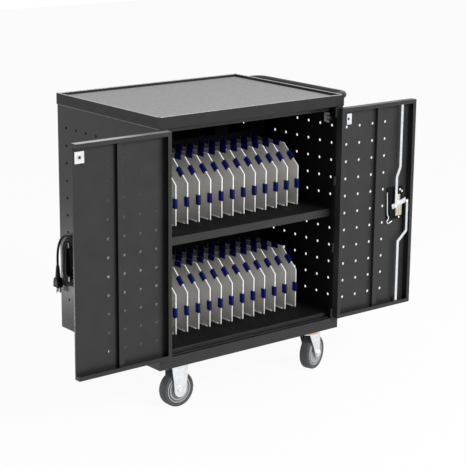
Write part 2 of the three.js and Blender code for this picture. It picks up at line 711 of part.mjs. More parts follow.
function powerStrip() {
  const front = PARTITION_Y + SHEET + FIT;
  const back = front + STRIP_DEPTH;
  const low = FLOOR_Z + STRIP_RISE;
  const half = STRIP_WIDTH / 2;
  const body = block(STRIP_X - half, STRIP_X + half, front, back, low, low + STRIP_LENGTH);
  const pitch = STRIP_LENGTH / OUTLET_COUNT;
  const outlets = spaced(low + pitch / 2, pitch, OUTLET_COUNT).map((z) => block(
    STRIP_X - OUTLET_WIDTH / 2, STRIP_X + OUTLET_WIDTH / 2, back - OUTLET_DEPTH, back + SHEET,
    z - OUTLET_HEIGHT / 2, z + OUTLET_HEIGHT / 2,
  ));
  return cut(body, outlets);
}

// Casters, each modelled with its wheel's axle along Y through the origin of the wheel

function wheel() {
  const half = WHEEL_WIDTH / 2;
  const tread = aroundRound(WHEEL_RADIUS, WHEEL_SIDES);
  const bore = aroundRound(AXLE_RADIUS + FIT, WHEEL_SIDES);
  const side = [
    [bore, half], [HUB_RADIUS, half - HUB_DISH], [HUB_RADIUS + HUB_DISH, half], [tread, TREAD_HALF],
  ];
  const ring = [...side.map(([r, y]) => [r, -y]), ...side.reverse(), [bore, -half]];
  const profile = ring.map(([r, y]) => new THREE.Vector2(r, y));
  return new THREE.LatheGeometry(profile, WHEEL_SIDES).rotateY(Math.PI / WHEEL_SIDES).rotateY(Math.PI / 2);
}

// One cheek of a fork: straight sides from the top edge down to a round foot at the axle.
function forkCheek(topX0, topX1, topZ, foot) {
  const outline = new THREE.Shape();
  outline.moveTo(topX1, topZ);
  outline.lineTo(topX0, topZ);
  outline.absarc(0, 0, foot, Math.PI, 2 * Math.PI, false);
  return [-1, 1].map((side) => {
    const faces = [side * FORK_Y, side * (FORK_Y + FORK_SHEET)].sort((p, q) => p - q);
    return prism('y', outline, ...faces);
  });
}

function axleBolt() {
  const end = FORK_Y + FORK_SHEET;
  const heads = [[-end - BOLT_HEAD_HEIGHT, -FORK_Y], [FORK_Y, end + BOLT_HEAD_HEIGHT]];
  return join([
    roundBar('y', [0, 0], AXLE_RADIUS, -end, end),
    ...heads.map(([low, high]) => roundBar('y', [0, 0], BOLT_HEAD_RADIUS, low, high, HOLE_SIDES)),
  ]);
}

function topPlate(x, z) {
  return block(
    x - PLATE_LENGTH / 2, x + PLATE_LENGTH / 2, -PLATE_WIDTH / 2, PLATE_WIDTH / 2, z - PLATE_THICKNESS, z,
  );
}

function rigidFork() {
  const top = PLATE_Z - WHEEL_RADIUS;
  const half = RIGID_FORK_TOP / 2;
  const cheeks = forkCheek(-half, half, top - PLATE_THICKNESS / 2, RIGID_FORK_FOOT);
  return join([topPlate(0, top), ...cheeks, axleBolt()]);
}

const CROWN_TOP = PLATE_Z - PLATE_THICKNESS - RACE_HEIGHT - FIT - WHEEL_RADIUS;

// The fork trails the kingpin by SWIVEL_TRAIL along its own X, and its crown reaches back over the cheeks.
function swivelFork() {
  const pin = -SWIVEL_TRAIL;
  const side = FORK_Y + FORK_SHEET;
  const under = CROWN_TOP - CROWN_THICKNESS;
  const crown = roundBar('z', [pin, 0], RACE_RADIUS, under, CROWN_TOP);
  const arm = block(pin, SWIVEL_FORK_FOOT, -side, side, under, CROWN_TOP);
  const hole = aroundRound(KINGPIN_RADIUS + FIT, ROUND_SIDES);
  const weld = CROWN_TOP - CROWN_THICKNESS / 2;
  const cheeks = forkCheek(-SWIVEL_FORK_LEAD, SWIVEL_FORK_FOOT, weld, SWIVEL_FORK_FOOT);
  return cut(join([crown, arm, ...cheeks, axleBolt()]), [
    roundBar('z', [pin, 0], hole, 0, CROWN_TOP + SHEET),
  ]);
}

function swivelPlate() {
  const pin = [0, 0];
  const top = PLATE_Z - WHEEL_RADIUS;
  const nutTop = CROWN_TOP - CROWN_THICKNESS - FIT;
  return join([
    topPlate(pin[0], top),
    roundBar('z', pin, RACE_RADIUS, CROWN_TOP + FIT, top - PLATE_THICKNESS / 2),
    roundBar('z', pin, KINGPIN_RADIUS, nutTop - KINGPIN_NUT_HEIGHT, top - PLATE_THICKNESS / 2),
    roundBar('z', pin, KINGPIN_NUT_RADIUS, nutTop - KINGPIN_NUT_HEIGHT, nutTop, HOLE_SIDES),
  ]);
}

function forkAndWheel(place, fork) {
  return [piece(`${place}_fork`, fork, FINISHES.zinc), piece(`${place}_wheel`, wheel(), FINISHES.tyre)];
}

function rigidCaster(place, y) {
  const group = new THREE.Group();
  group.position.set(-RIGID_X, y, WHEEL_RADIUS);
  group.add(...forkAndWheel(place, rigidFork()));
  return group;
}

// The plate stays square to the cabinet, and the fork has swung to SWIVEL_REST about the kingpin.
function swivelCaster(place, y) {
  const trailing = new THREE.Group();
  trailing.position.x = SWIVEL_TRAIL;
  trailing.add(...forkAndWheel(place, swivelFork()));
  const turning = new THREE.Group();
  turning.rotation.z = SWIVEL_REST;
  turning.add(trailing);
  const group = new THREE.Group();
  group.position.set(SWIVEL_X, y, WHEEL_RADIUS);
  group.add(piece(`${place}_plate`, swivelPlate(), FINISHES.zinc), turning);
  return group;
}

// Mains lead, on the left side panel near its rear edge

const HANK_OUTER_RADIUS = HANK_INNER_RADIUS + HANK_LOOPS * HANK_PITCH;
const HANK_X = -PANEL_X - HANK_STANDOFF;
const HANK_Y = PANEL_Y - HANK_INSET;
const PLUG_Y = HANK_Y + PLUG_SPREAD;
const LEAD_Z = BASE_Z + HANK_HIGH + HANK_OUTER_RADIUS;
const TAIL_X = HANK_X - HANK_LAYER_PITCH;

// One step round a racetrack loop, from its top going rearwards: quarter bend, run down, half bend, run up.
function loopPoint(step, radius) {
  const [low, high] = [BASE_Z + HANK_LOW, BASE_Z + HANK_HIGH];
  const sixth = LOOP_STEPS / 6;
  const bend = (from, z) => {
    const angle = Math.PI / 2 - ((step - from) * Math.PI) / (2 * sixth);
    return [HANK_Y + radius * Math.cos(angle), z + radius * Math.sin(angle)];
  };
  if (step <= sixth) return bend(0, high);
  if (step <= 2 * sixth) return [HANK_Y + radius, high - ((high - low) * (step - sixth)) / sixth];
  if (step <= 4 * sixth) return bend(sixth, low);
  if (step <= 5 * sixth) return [HANK_Y - radius, low + ((high - low) * (step - 4 * sixth)) / sixth];
  return bend(2 * sixth, high);
}

// The loops spiral in against the panel, climb a layer and spiral out again over themselves.
function hankPoints() {
  const points = [new THREE.Vector3(HANK_X, HANK_Y - HANK_LEAD, LEAD_Z)];
  for (let step = 0; step <= 2 * HANK_LOOPS * LOOP_STEPS; step += 1) {
    const turn = step / LOOP_STEPS - HANK_LOOPS;
    const radius = HANK_INNER_RADIUS + HANK_PITCH * Math.abs(turn);
    const climb = THREE.MathUtils.smoothstep(turn, -HANK_CLIMB / 2, HANK_CLIMB / 2);
    const x = HANK_X - climb * HANK_LAYER_PITCH;
    points.push(new THREE.Vector3(x, ...loopPoint(step % LOOP_STEPS, radius)));
  }
  points.push(new THREE.Vector3(TAIL_X, HANK_Y + 2 * CORD_RADIUS, LEAD_Z));
  return points;
}

// Least gap between stretches of a tube that lie more than a bend apart along it.
function leastSelfGap(points, radius) {
  const fine = new THREE.CurvePath();
  points.slice(1).forEach((end, i) => fine.add(new THREE.LineCurve3(points[i], end)));
  const samples = fine.getSpacedPoints(points.length * 4);
  const step = fine.getLength() / (samples.length - 1);
  const apart = Math.ceil((Math.PI * HANK_INNER_RADIUS) / step);
  let least = Infinity;
  samples.forEach((p, i) => {
    samples.slice(i + apart).forEach((q) => {
      least = Math.min(least, p.distanceTo(q));
    });
  });
  return { gap: least - 2 * radius, length: fine.getLength() };
}

// A closed tube of flat-sided rings through points, its ends square to its first and last stretch.
function tube(points, radius, sides) {
  const last = points.length - 1;
  const tangents = points.map((p, i) => {
    const [from, to] = [points[Math.max(i - 1, 0)], points[Math.min(i + 1, last)]];
    return to.clone().sub(from).normalize();
  });
  let normal = new THREE.Vector3(1, 0, 0);
  const corners = points.flatMap((p, i) => {
    normal = normal.clone().addScaledVector(tangents[i], -normal.dot(tangents[i])).normalize();
    const across = tangents[i].clone().cross(normal);
    return polygon([0, 0], radius, sides).map(({ x, y }) => (
      p.clone().addScaledVector(normal, x).addScaledVector(across, y)
    ));
  });
  const faces = [];
  for (let ring = 0; ring < last; ring += 1) {
    for (let k = 0; k < sides; k += 1) {
      const [a, b] = [ring * sides + k, ring * sides + ((k + 1) % sides)];
      faces.push(a, b, b + sides, a, b + sides, a + sides);
    }
  }
  for (let k = 1; k < sides - 1; k += 1) {
    faces.push(0, k + 1, k, last * sides, last * sides + k, last * sides + k + 1);
  }
  const geometry = new THREE.BufferGeometry().setFromPoints(corners);
  geometry.setIndex(faces);
  geometry.computeVertexNormals();
  return geometry;
}

// The tail leaves the top of the hank, turns down behind it and hangs to the plug.
function tailGeometry() {
  const top = BASE_Z + PLUG_TOP + FIT;
  const start = HANK_Y + 2 * CORD_RADIUS + FIT;
  const at = (y, z) => new THREE.Vector3(TAIL_X, y, z);
  const route = [
    at(start, LEAD_Z),
    at(start + 14, LEAD_Z - 0.7),
    at(start + 31, LEAD_Z - 7.5),
    at(start + 46, LEAD_Z - 21),
    at(start + 56, LEAD_Z - 40),
    at(PLUG_Y - 1.2, LEAD_Z - 62),
    at(PLUG_Y, top + 14),
    at(PLUG_Y, top),
  ];
  const section = new THREE.Shape(polygon([0, 0], CORD_RADIUS, SMALL_ROUND_SIDES));
  const path = new THREE.CatmullRomCurve3(route);
  return new THREE.ExtrudeGeometry(section, { steps: TAIL_STEPS, extrudePath: path, bevelEnabled: false });
}

function cone(axis, centre, rootRadius, tipRadius, root, tip) {
  const geometry = new THREE.CylinderGeometry(tipRadius, rootRadius, tip - root, ROUND_SIDES);
  geometry.translate(0, (root + tip) / 2, 0);
  if (axis === 'z') geometry.rotateX(Math.PI / 2);
  return solid(geometry.translate(...centre));
}

// A side-entry gland box on the panel, its tapered boot pointing rearwards along the cord.
function cordGland() {
  const tip = HANK_Y - HANK_LEAD - FIT;
  const root = tip - GLAND_BOOT;
  const half = GLAND_BOX / 2;
  const reach = HANK_X - GLAND_ROOT_RADIUS - SHEET;
  const bevel = GLAND_ROOT_RADIUS / 2;
  const outline = [
    [-PANEL_X - FIT, LEAD_Z - half],
    [-PANEL_X - FIT, LEAD_Z + half],
    [reach + bevel, LEAD_Z + half],
    [reach, LEAD_Z + half - bevel],
    [reach, LEAD_Z - half + bevel],
    [reach + bevel, LEAD_Z - half],
  ].map(([x, z]) => new THREE.Vector2(x, z));
  const box = prism('y', outline, root - GLAND_BOX, root + SHEET);
  return box.add(cone('y', [HANK_X, 0, LEAD_Z], GLAND_ROOT_RADIUS, GLAND_TIP_RADIUS, root, tip));
}

// A bent strip with two arms that carry the loops and turned-out lips that keep them on.
function cordCleat() {
  const face = -PANEL_X - FIT;
  const out = TAIL_X - CORD_RADIUS - SHEET;
  const [low, high] = [BASE_Z + HANK_LOW - CLEAT_RADIUS, BASE_Z + HANK_HIGH + CLEAT_RADIUS];
  const upper = [[out, high + CLEAT_LIP], [out, high], [face, high]];
  const path = [...upper, [face, low], [out, low], [out, low - CLEAT_LIP]];
  const outline = foldedSheet(path, -CLEAT_STRIP);
  return prism('y', outline, HANK_Y - CLEAT_WIDTH / 2, HANK_Y + CLEAT_WIDTH / 2);
}

function plug() {
  const bodyTop = PLUG_TOP - PLUG_BOOT + BASE_Z;
  const bodyLow = bodyTop - PLUG_BODY;
  const neck = (PLUG_WIDTH * PLUG_NECK) / 2;
  const half = PLUG_WIDTH / 2;
  const outline = [
    [-half, bodyLow], [half, bodyLow], [half, bodyLow + PLUG_BODY / 2], [neck, bodyTop], [-neck, bodyTop],
    [-half, bodyLow + PLUG_BODY / 2],
  ].map(([y, z]) => new THREE.Vector2(PLUG_Y + y, z));
  const body = prism('x', outline, TAIL_X - PLUG_THICKNESS / 2, TAIL_X + PLUG_THICKNESS / 2);
  const bootTip = BASE_Z + PLUG_TOP;
  const [root, tip] = [PLUG_BOOT_ROOT_RADIUS, PLUG_BOOT_TIP_RADIUS];
  const boot = cone('z', [TAIL_X, PLUG_Y, 0], root, tip, bodyTop - SHEET, bootTip);
  const blades = [-1, 1].map((side) => {
    const y = PLUG_Y + (side * BLADE_SPACING) / 2;
    return block(
      TAIL_X + EARTH_PIN_OFFSET - BLADE_WIDTH, TAIL_X + EARTH_PIN_OFFSET, y - BLADE_THICKNESS / 2,
      y + BLADE_THICKNESS / 2, bodyLow - BLADE_LENGTH, bodyLow + SHEET,
    );
  });
  const earth = [TAIL_X - EARTH_PIN_OFFSET, PLUG_Y];
  const pinEnd = bodyLow - BLADE_LENGTH - SHEET;
  const pin = roundBar('z', earth, EARTH_PIN_RADIUS, pinEnd, bodyLow + SHEET, SMALL_ROUND_SIDES);
  return join([body, boot, ...blades, pin]);
}

// Assembly

function doorGroup(side, y, turn, members) {
  const group = new THREE.Group();
  group.position.set(side * HINGE_X, y, 0);
  group.rotation.z = turn;
  members.forEach((mesh) => group.add(mesh));
  return group;
}

const hank = hankPoints();
const { gap, length } = leastSelfGap(hank, CORD_RADIUS);
console.log(`cord hank: ${length.toFixed(0)} mm of cord, least gap to itself ${gap.toFixed(2)} mm`);

const cart = new THREE.Group();
cart.name = 'laptop_charging_cart';
cart.position.y = (FRONT_REACH - REAR_REACH) / 2;

const { blackSteel, matGrey, zinc, blackPlastic } = FINISHES;
cart.add(
  piece('base_pan', basePan(), blackSteel),
  piece('left_side_panel', sidePanel(-1, [-HINGE_Y]), blackSteel),
  piece('right_side_panel', sidePanel(1, [-HINGE_Y, HINGE_Y]), blackSteel),
  piece('top_tray', topTray(), blackSteel),
  piece('top_mat', topMat(), matGrey),
  piece('mid_shelf', midShelf(), blackSteel),
  piece('partition', partition(), blackSteel),
  piece('push_handle', pushHandle(), blackSteel),
  piece('power_strip', powerStrip(), blackPlastic),
  piece('door_catch', doorCatch(), zinc),
  dividerRow('upper', SHELF_Z),
  dividerRow('lower', FLOOR_Z),
  doorGroup(-1, -HINGE_Y, -Math.PI, [piece('left_door', leftDoor(), blackSteel)]),
  doorGroup(1, -HINGE_Y, Math.PI, [
    piece('right_door', rightDoor(), blackSteel),
    piece('lock_case', lockCase(), blackPlastic),
    piece('lock_handle', lockHandle(), zinc),
    piece('upper_rod', upperRod(), zinc),
    piece('lower_rod', lowerRod(), zinc),
  ]),
  doorGroup(1, HINGE_Y, Math.PI, [piece('rear_door', rearDoor(), blackSteel)]),
  piece('cord_gland', cordGland(), blackPlastic),
  piece('cord_cleat', cordCleat(), blackSteel),
  piece('cord_hank', tube(hank, CORD_RADIUS, CORD_SIDES), blackPlastic),
  piece('cord_tail', tailGeometry(), blackPlastic),
  piece('plug', plug(), blackPlastic),
);
[['front', -CASTER_Y], ['rear', CASTER_Y]].forEach(([place, y]) => {
  cart.add(rigidCaster(`rigid_${place}`, y), swivelCaster(`swivel_${place}`, y));
});

export default cart;
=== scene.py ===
"""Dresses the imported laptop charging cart: materials, fine pieces, the mains lead, light and camera.

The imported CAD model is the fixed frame. Every piece is built in metres in that frame, takes its place from
the nodes that carry it, and rides on one of the frame's bodies.
"""

from __future__ import annotations

import json
import logging
import math
from dataclasses import dataclass
from enum import Enum
from typing import Callable, Iterable, Sequence

import bmesh
import bpy
from bmesh.types import BMesh
from bpy.types import Material, Object
from mathutils import Matrix, Vector


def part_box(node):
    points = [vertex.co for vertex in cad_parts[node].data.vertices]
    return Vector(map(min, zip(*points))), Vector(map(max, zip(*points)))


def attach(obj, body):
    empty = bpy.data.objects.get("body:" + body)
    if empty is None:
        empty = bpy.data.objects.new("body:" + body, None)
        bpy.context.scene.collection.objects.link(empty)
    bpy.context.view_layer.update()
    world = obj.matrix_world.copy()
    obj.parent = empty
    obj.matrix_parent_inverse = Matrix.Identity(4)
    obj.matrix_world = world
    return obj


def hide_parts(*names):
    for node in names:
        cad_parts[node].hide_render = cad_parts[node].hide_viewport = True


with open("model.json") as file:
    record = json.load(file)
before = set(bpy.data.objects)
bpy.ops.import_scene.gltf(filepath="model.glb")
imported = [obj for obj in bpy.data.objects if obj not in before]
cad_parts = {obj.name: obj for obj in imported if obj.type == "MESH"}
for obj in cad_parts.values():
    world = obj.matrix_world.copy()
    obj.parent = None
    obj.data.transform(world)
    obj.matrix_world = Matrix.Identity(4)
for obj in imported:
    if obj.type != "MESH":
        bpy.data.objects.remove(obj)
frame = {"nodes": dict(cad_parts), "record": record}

LOG = logging.getLogger("charging_cart")
MM = 0.001
FULL_TURN = 2 * math.pi


class Body(str, Enum):
    """The frame's bodies that pieces ride on."""

    CABINET = "cabinet"
    LEFT_DOOR = "left_door"
    RIGHT_DOOR = "right_door"
    REAR_DOOR = "rear_door"
    LOCK_HANDLE = "lock_handle"
    SWIVEL_FRONT = "swivel_front"
    SWIVEL_REAR = "swivel_rear"


class Slot(str, Enum):
    """The record's material slots."""

    BLACK_STEEL = "black_steel"
    MAT = "mat"
    DIVIDER = "divider"
    ZINC = "zinc"
    WHEEL = "wheel"
    BLACK_PLASTIC = "black_plastic"
    CORD = "cord"


@dataclass(frozen=True)
class Box:
    """A node's box at rest, in the row frame.

    Attributes:
        low: The lowest corner.
        high: The highest corner.
    """

    low: Vector
    high: Vector

    @classmethod
    def of(cls, node: str) -> "Box":
        """Reads a node's box from the frame.

        Args:
            node: The CAD node's name.

        Returns:
            Its box.
        """
        low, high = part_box(node)
        return cls(Vector(low), Vector(high))

    @property
    def centre(self) -> Vector:
        """The middle of the box."""
        return (self.low + self.high) / 2

    @property
    def size(self) -> Vector:
        """The box's length along each axis."""
        return self.high - self.low


# Materials


@dataclass(frozen=True)
class Finish:
    """What a surface looks like, as sizes and numbers for its node graph.

    Attributes:
        name: The material's name.
        colour: Base colour, linear.
        roughness: Mean roughness.
        metallic: 0 for paint, rubber and plastic, 1 for bare metal.
        mottle: Share by which the colour varies over a few centimetres.
        mottle_size: Length of that variation, in metres.
        grain: Height of the fine surface relief, in metres.
        grain_size: Length of that relief, in metres.
        rub: Share by which the roughness varies where hands and boxes have rubbed.
        edge: Radius of the softened edges, in metres.
        wear_and_highlight: Added brightness along the edges, partly rubbed wear and partly a painted highlight where
            the edges catch light.
        gloss: Strength of the surface's own reflection.
    """

    name: str
    colour: tuple[float, float, float]
    roughness: float
    metallic: float = 0.0
    mottle: float = 0.12
    mottle_size: float = 0.05
    grain: float = 0.00004
    grain_size: float = 0.0012
    rub: float = 0.12
    edge: float = 0.0
    wear_and_highlight: float = 0.0
    gloss: float = 0.5


FINISHES = {
    "powder_coat": Finish("satin_black_powder_coat", (0.024, 0.024, 0.0244), 0.34, grain=0.00003, edge=0.0009, wear_and_highlight=0.05,
                          gloss=0.27),
    # Light grey painted highlight on black steel: the tray hem and the left door's top faces, where they catch the
    # light.
    "painted_highlight_hem": Finish("painted_highlight_grey", (0.32, 0.32, 0.322), 0.25, grain=0.0, edge=0.0004, wear_and_highlight=0.08, gloss=0.7),
    # A darker, duller copy of the powder coat for the top tray: painted shade.
    "painted_shade_tray_coat": Finish("powder_coat_painted_shade", (0.019, 0.019, 0.0193), 0.4, grain=0.00003, edge=0.0009, wear_and_highlight=0.05,
                        gloss=0.19),
    # A near-black copy of the powder coat: painted shade on faces deep inside the cabinet and the doors, and on the
    # lock case.
    "painted_shade_coat": Finish("black_powder_coat_painted_deep_shade", (0.008, 0.008, 0.0082), 0.6, grain=0.00003, gloss=0.06),
    "mat": Finish("grey_mat", (0.34, 0.34, 0.34), 0.82, grain=0.00025, grain_size=0.0022, mottle=0.12, mottle_size=0.007),
    "off_white": Finish("off_white_divider", (0.6, 0.59, 0.56), 0.5, mottle=0.05, grain=0.00002),
    # Near-white painted highlight on the divider sheets' edges, which face the light.
    "painted_highlight_divider_edge": Finish("divider_edge_painted_highlight", (0.88, 0.88, 0.87), 0.5, mottle=0.03, grain=0.00002),
    "navy": Finish("navy_clip", (0.004, 0.008, 0.105), 0.5, mottle=0.1, grain=0.00002, gloss=0.12),
    "zinc": Finish("bright_zinc", (0.8, 0.82, 0.84), 0.3, 1.0, mottle=0.1, mottle_size=0.012, rub=0.25),
    "tyre": Finish("grey_rubber_tread", (0.052, 0.0535, 0.056), 0.68, mottle=0.15, grain=0.00006),
    "hub": Finish("grey_hub", (0.31, 0.315, 0.32), 0.5, mottle=0.1),
    "black_plastic": Finish("matte_black_plastic", (0.006, 0.006, 0.006), 0.5, grain=0.00004, edge=0.0006, wear_and_highlight=0.02,
                            gloss=0.16),
    "cord": Finish("cord_sheath", (0.003, 0.003, 0.0033), 0.5, mottle=0.2, grain=0.00002, gloss=0.1),
    "brass": Finish("lock_brass", (0.56, 0.52, 0.42), 0.4, 0.7, mottle=0.12, mottle_size=0.01),
    "copper": Finish("raceway_copper", (0.75, 0.4, 0.22), 0.36, 1.0, mottle=0.12, mottle_size=0.01),
    "plated": Finish("dull_plated_steel", (0.55, 0.55, 0.55), 0.45, 0.2, mottle=0.1, mottle_size=0.01),
    "floor": Finish("pale_floor", (0.9, 0.9, 0.9), 0.7, mottle=0.01, mottle_size=0.6, grain=0.0, rub=0.05),
}


class MaterialShelf:
    """Builds each node-based material once and hands it out by name."""

    def __init__(self) -> None:
        self._made: dict[str, Material] = {}

    def get(self, key: str) -> Material:
        """Returns a material, building it the first time.

        Args:
            key: A key of FINISHES.

        Returns:
            The Blender material.
        """
        if key not in self._made:
            self._made[key] = self._build(FINISHES[key])
        return self._made[key]

    @staticmethod
    def _noise(tree: bpy.types.NodeTree, place: bpy.types.NodeSocket, length: float, detail: float):
        """Adds noise of a real length.

        Args:
            tree: The material's node tree.
            place: Object coordinates, in metres.
            length: The noise's size in metres.
            detail: Noise detail.

        Returns:
            The noise's value socket.
        """
        noise = tree.nodes.new("ShaderNodeTexNoise")
        noise.inputs["Scale"].default_value = 1 / length
        noise.inputs["Detail"].default_value = detail
        tree.links.new(place, noise.inputs["Vector"])
        return noise.outputs["Fac"]

    @staticmethod
    def _spread(tree: bpy.types.NodeTree, value, low: float, high: float):
        """Maps noise to a range.

        Args:
            tree: The material's node tree.
            value: The noise's socket.
            low: What the darkest noise becomes.
            high: What the brightest noise becomes.

        Returns:
            The mapped socket.
        """
        spread = tree.nodes.new("ShaderNodeMapRange")
        spread.inputs["From Min"].default_value = 0.3
        spread.inputs["From Max"].default_value = 0.7
        spread.inputs["To Min"].default_value = low
        spread.inputs["To Max"].default_value = high
        tree.links.new(value, spread.inputs["Value"])
        return spread.outputs["Result"]

    def _edge_wear_and_highlight(self, tree: bpy.types.NodeTree, colour, place: bpy.types.NodeSocket, finish: Finish):
        """Lightens a colour along the edges, partly as rubbed wear and partly as a painted highlight where the edges
        catch light.

        Args:
            tree: The material's node tree.
            colour: The colour's socket.
            place: Object coordinates, in metres.
            finish: What the surface looks like.

        Returns:
            The worn colour's socket.
        """
        soft = tree.nodes.new("ShaderNodeBevel")
        soft.inputs["Radius"].default_value = finish.edge
        turned = tree.nodes.new("ShaderNodeVectorMath")
        turned.operation = "DOT_PRODUCT"
        tree.links.new(soft.outputs["Normal"], turned.inputs[0])
        tree.links.new(tree.nodes.new("ShaderNodeNewGeometry").outputs["True Normal"], turned.inputs[1])
        edge = tree.nodes.new("ShaderNodeMapRange")
        edge.inputs["From Min"].default_value = 0.99
        edge.inputs["From Max"].default_value = 0.8
        tree.links.new(turned.outputs["Value"], edge.inputs["Value"])
        patchy = tree.nodes.new("ShaderNodeMath")
        patchy.operation = "MULTIPLY"
        tree.links.new(edge.outputs["Result"], patchy.inputs[0])
        tree.links.new(self._spread(tree, self._noise(tree, place, 0.03, 4.0), 0.35, 1.0), patchy.inputs[1])
        worn_and_lit = tree.nodes.new("ShaderNodeMix")
        worn_and_lit.data_type = "RGBA"
        worn_and_lit.inputs["B"].default_value = (*(c + finish.wear_and_highlight for c in finish.colour), 1)
        tree.links.new(colour, worn_and_lit.inputs["A"])
        tree.links.new(patchy.outputs["Value"], worn_and_lit.inputs["Factor"])
        return worn_and_lit.outputs["Result"]

    def _build(self, finish: Finish) -> Material:
        """Builds the node graph of a finish.

        Args:
            finish: What the surface looks like.

        Returns:
            The new material.
        """
        material = bpy.data.materials.new(finish.name)
        material.use_nodes = True
        tree = material.node_tree
        shader = tree.nodes["Principled BSDF"]
        shader.inputs["Metallic"].default_value = finish.metallic
        shader.inputs["Specular IOR Level"].default_value = finish.gloss
        place = tree.nodes.new("ShaderNodeTexCoord").outputs["Object"]

        blotch = self._noise(tree, place, finish.mottle_size, 5.0)
        tint = tree.nodes.new("ShaderNodeMix")
        tint.data_type = "RGBA"
        tint.inputs["A"].default_value = (*(c * (1 - finish.mottle) for c in finish.colour), 1)
        tint.inputs["B"].default_value = (*(min(1, c * (1 + finish.mottle)) for c in finish.colour), 1)
        tree.links.new(self._spread(tree, blotch, 0, 1), tint.inputs["Factor"])
        colour = tint.outputs["Result"]
        if finish.edge:
            colour = self._edge_wear_and_highlight(tree, colour, place, finish)
        tree.links.new(colour, shader.inputs["Base Color"])

        rubbed = self._noise(tree, place, finish.mottle_size * 1.7, 4.0)
        smooth, rough = finish.roughness * (1 - finish.rub), finish.roughness * (1 + finish.rub)
        tree.links.new(self._spread(tree, rubbed, smooth, rough), shader.inputs["Roughness"])

        if finish.grain:
            bump = tree.nodes.new("ShaderNodeBump")
            bump.inputs["Distance"].default_value = finish.grain
            tree.links.new(self._noise(tree, place, finish.grain_size, 3.0), bump.inputs["Height"])
            if finish.edge:
                soft = tree.nodes.new("ShaderNodeBevel")
                soft.inputs["Radius"].default_value = finish.edge
                tree.links.new(soft.outputs["Normal"], bump.inputs["Normal"])
            tree.links.new(bump.outputs["Normal"], shader.inputs["Normal"])
        return material


# Mesh tools


class Forms:
    """Mesh building blocks. Each returns a new bmesh in the row frame."""

    @staticmethod
    def block(low: Sequence[float], high: Sequence[float], bevel: float = 0.0) -> BMesh:
        """A box with rounded edges.

        Args:
            low: Lowest corner.
            high: Highest corner.
            bevel: Edge radius.

        Returns:
            The box.
        """
        low, high = Vector(low), Vector(high)
        size = high - low
        scale = Matrix.Diagonal((*size, 1.0))
        bm = bmesh.new()
        bmesh.ops.create_cube(bm, size=1.0, matrix=Matrix.Translation((low + high) / 2) @ scale)
        return Forms.round_edges(bm, bevel)

    @staticmethod
    def round_edges(bm: BMesh, bevel: float, segments: int = 2, angle: float = math.radians(30)) -> BMesh:
        """Rounds the sharp edges of a mesh.

        Args:
            bm: The mesh.
            bevel: Edge radius, or 0 to leave the edges alone.
            segments: Faces across a rounded edge.
            angle: The least fold that counts as sharp.

        Returns:
            The same mesh.
        """
        if bevel > 0:
            bm.normal_update()
            sharp = [e for e in bm.edges if len(e.link_faces) == 2 and e.calc_face_angle() > angle]
            bmesh.ops.bevel(
                bm, geom=sharp, offset=bevel, segments=segments, profile=0.5, affect="EDGES", clamp_overlap=True,
                material=-1,
            )
        return bm

    @staticmethod
    def prism(outline: Iterable[Sequence[float]], along: Sequence[float], bevel: float = 0.0) -> BMesh:
        """A flat outline pushed along a vector.

        Args:
            outline: Corner points in order.
            along: The push.
            bevel: Edge radius.

        Returns:
            The closed solid.
        """
        bm = bmesh.new()
        face = bm.faces.new([bm.verts.new(p) for p in outline])
        pushed = bmesh.ops.extrude_face_region(bm, geom=[face])["geom"]
        bmesh.ops.translate(bm, verts=[v for v in pushed if isinstance(v, bmesh.types.BMVert)], vec=Vector(along))
        bmesh.ops.recalc_face_normals(bm, faces=bm.faces)
        return Forms.round_edges(bm, bevel)

    @staticmethod
    def turned(profile: Iterable[Sequence[float]], centre: Sequence[float], axis: Sequence[float],
               segments: int = 48, closed: bool = False) -> BMesh:
        """A profile turned round an axis.

        Args:
            profile: (radius, distance along the axis) points in order.
            centre: A point on the axis, where the distance is 0.
            axis: The axis's direction.
            segments: Steps in a full turn.
            closed: Whether the profile's last point joins its first, as in a ring.

        Returns:
            The turned solid.
        """
        axis = Vector(axis).normalized()
        out = axis.orthogonal().normalized()
        centre = Vector(centre)
        bm = bmesh.new()
        verts = [bm.verts.new(centre + out * r + axis * h) for r, h in profile]
        pairs = list(zip(verts, verts[1:])) + ([(verts[-1], verts[0])] if closed else [])
        edges = [bm.edges.new(pair) for pair in pairs]
        bmesh.ops.spin(bm, geom=[*verts, *edges], cent=centre, axis=axis, angle=FULL_TURN, steps=segments,
                       use_merge=True)
        bmesh.ops.remove_doubles(bm, verts=bm.verts, dist=1e-6)
        bmesh.ops.recalc_face_normals(bm, faces=bm.faces)
        return bm

    @staticmethod
    def merged(parts: Iterable[BMesh]) -> BMesh:
        """Several meshes as one.

        Args:
            parts: The meshes, which are used up.

        Returns:
            One mesh that holds them all.
        """
        whole = bmesh.new()
        for part in parts:
            mesh = bpy.data.meshes.new("part")
            part.to_mesh(mesh)
            part.free()
            whole.from_mesh(mesh)
            bpy.data.meshes.remove(mesh)
        return whole


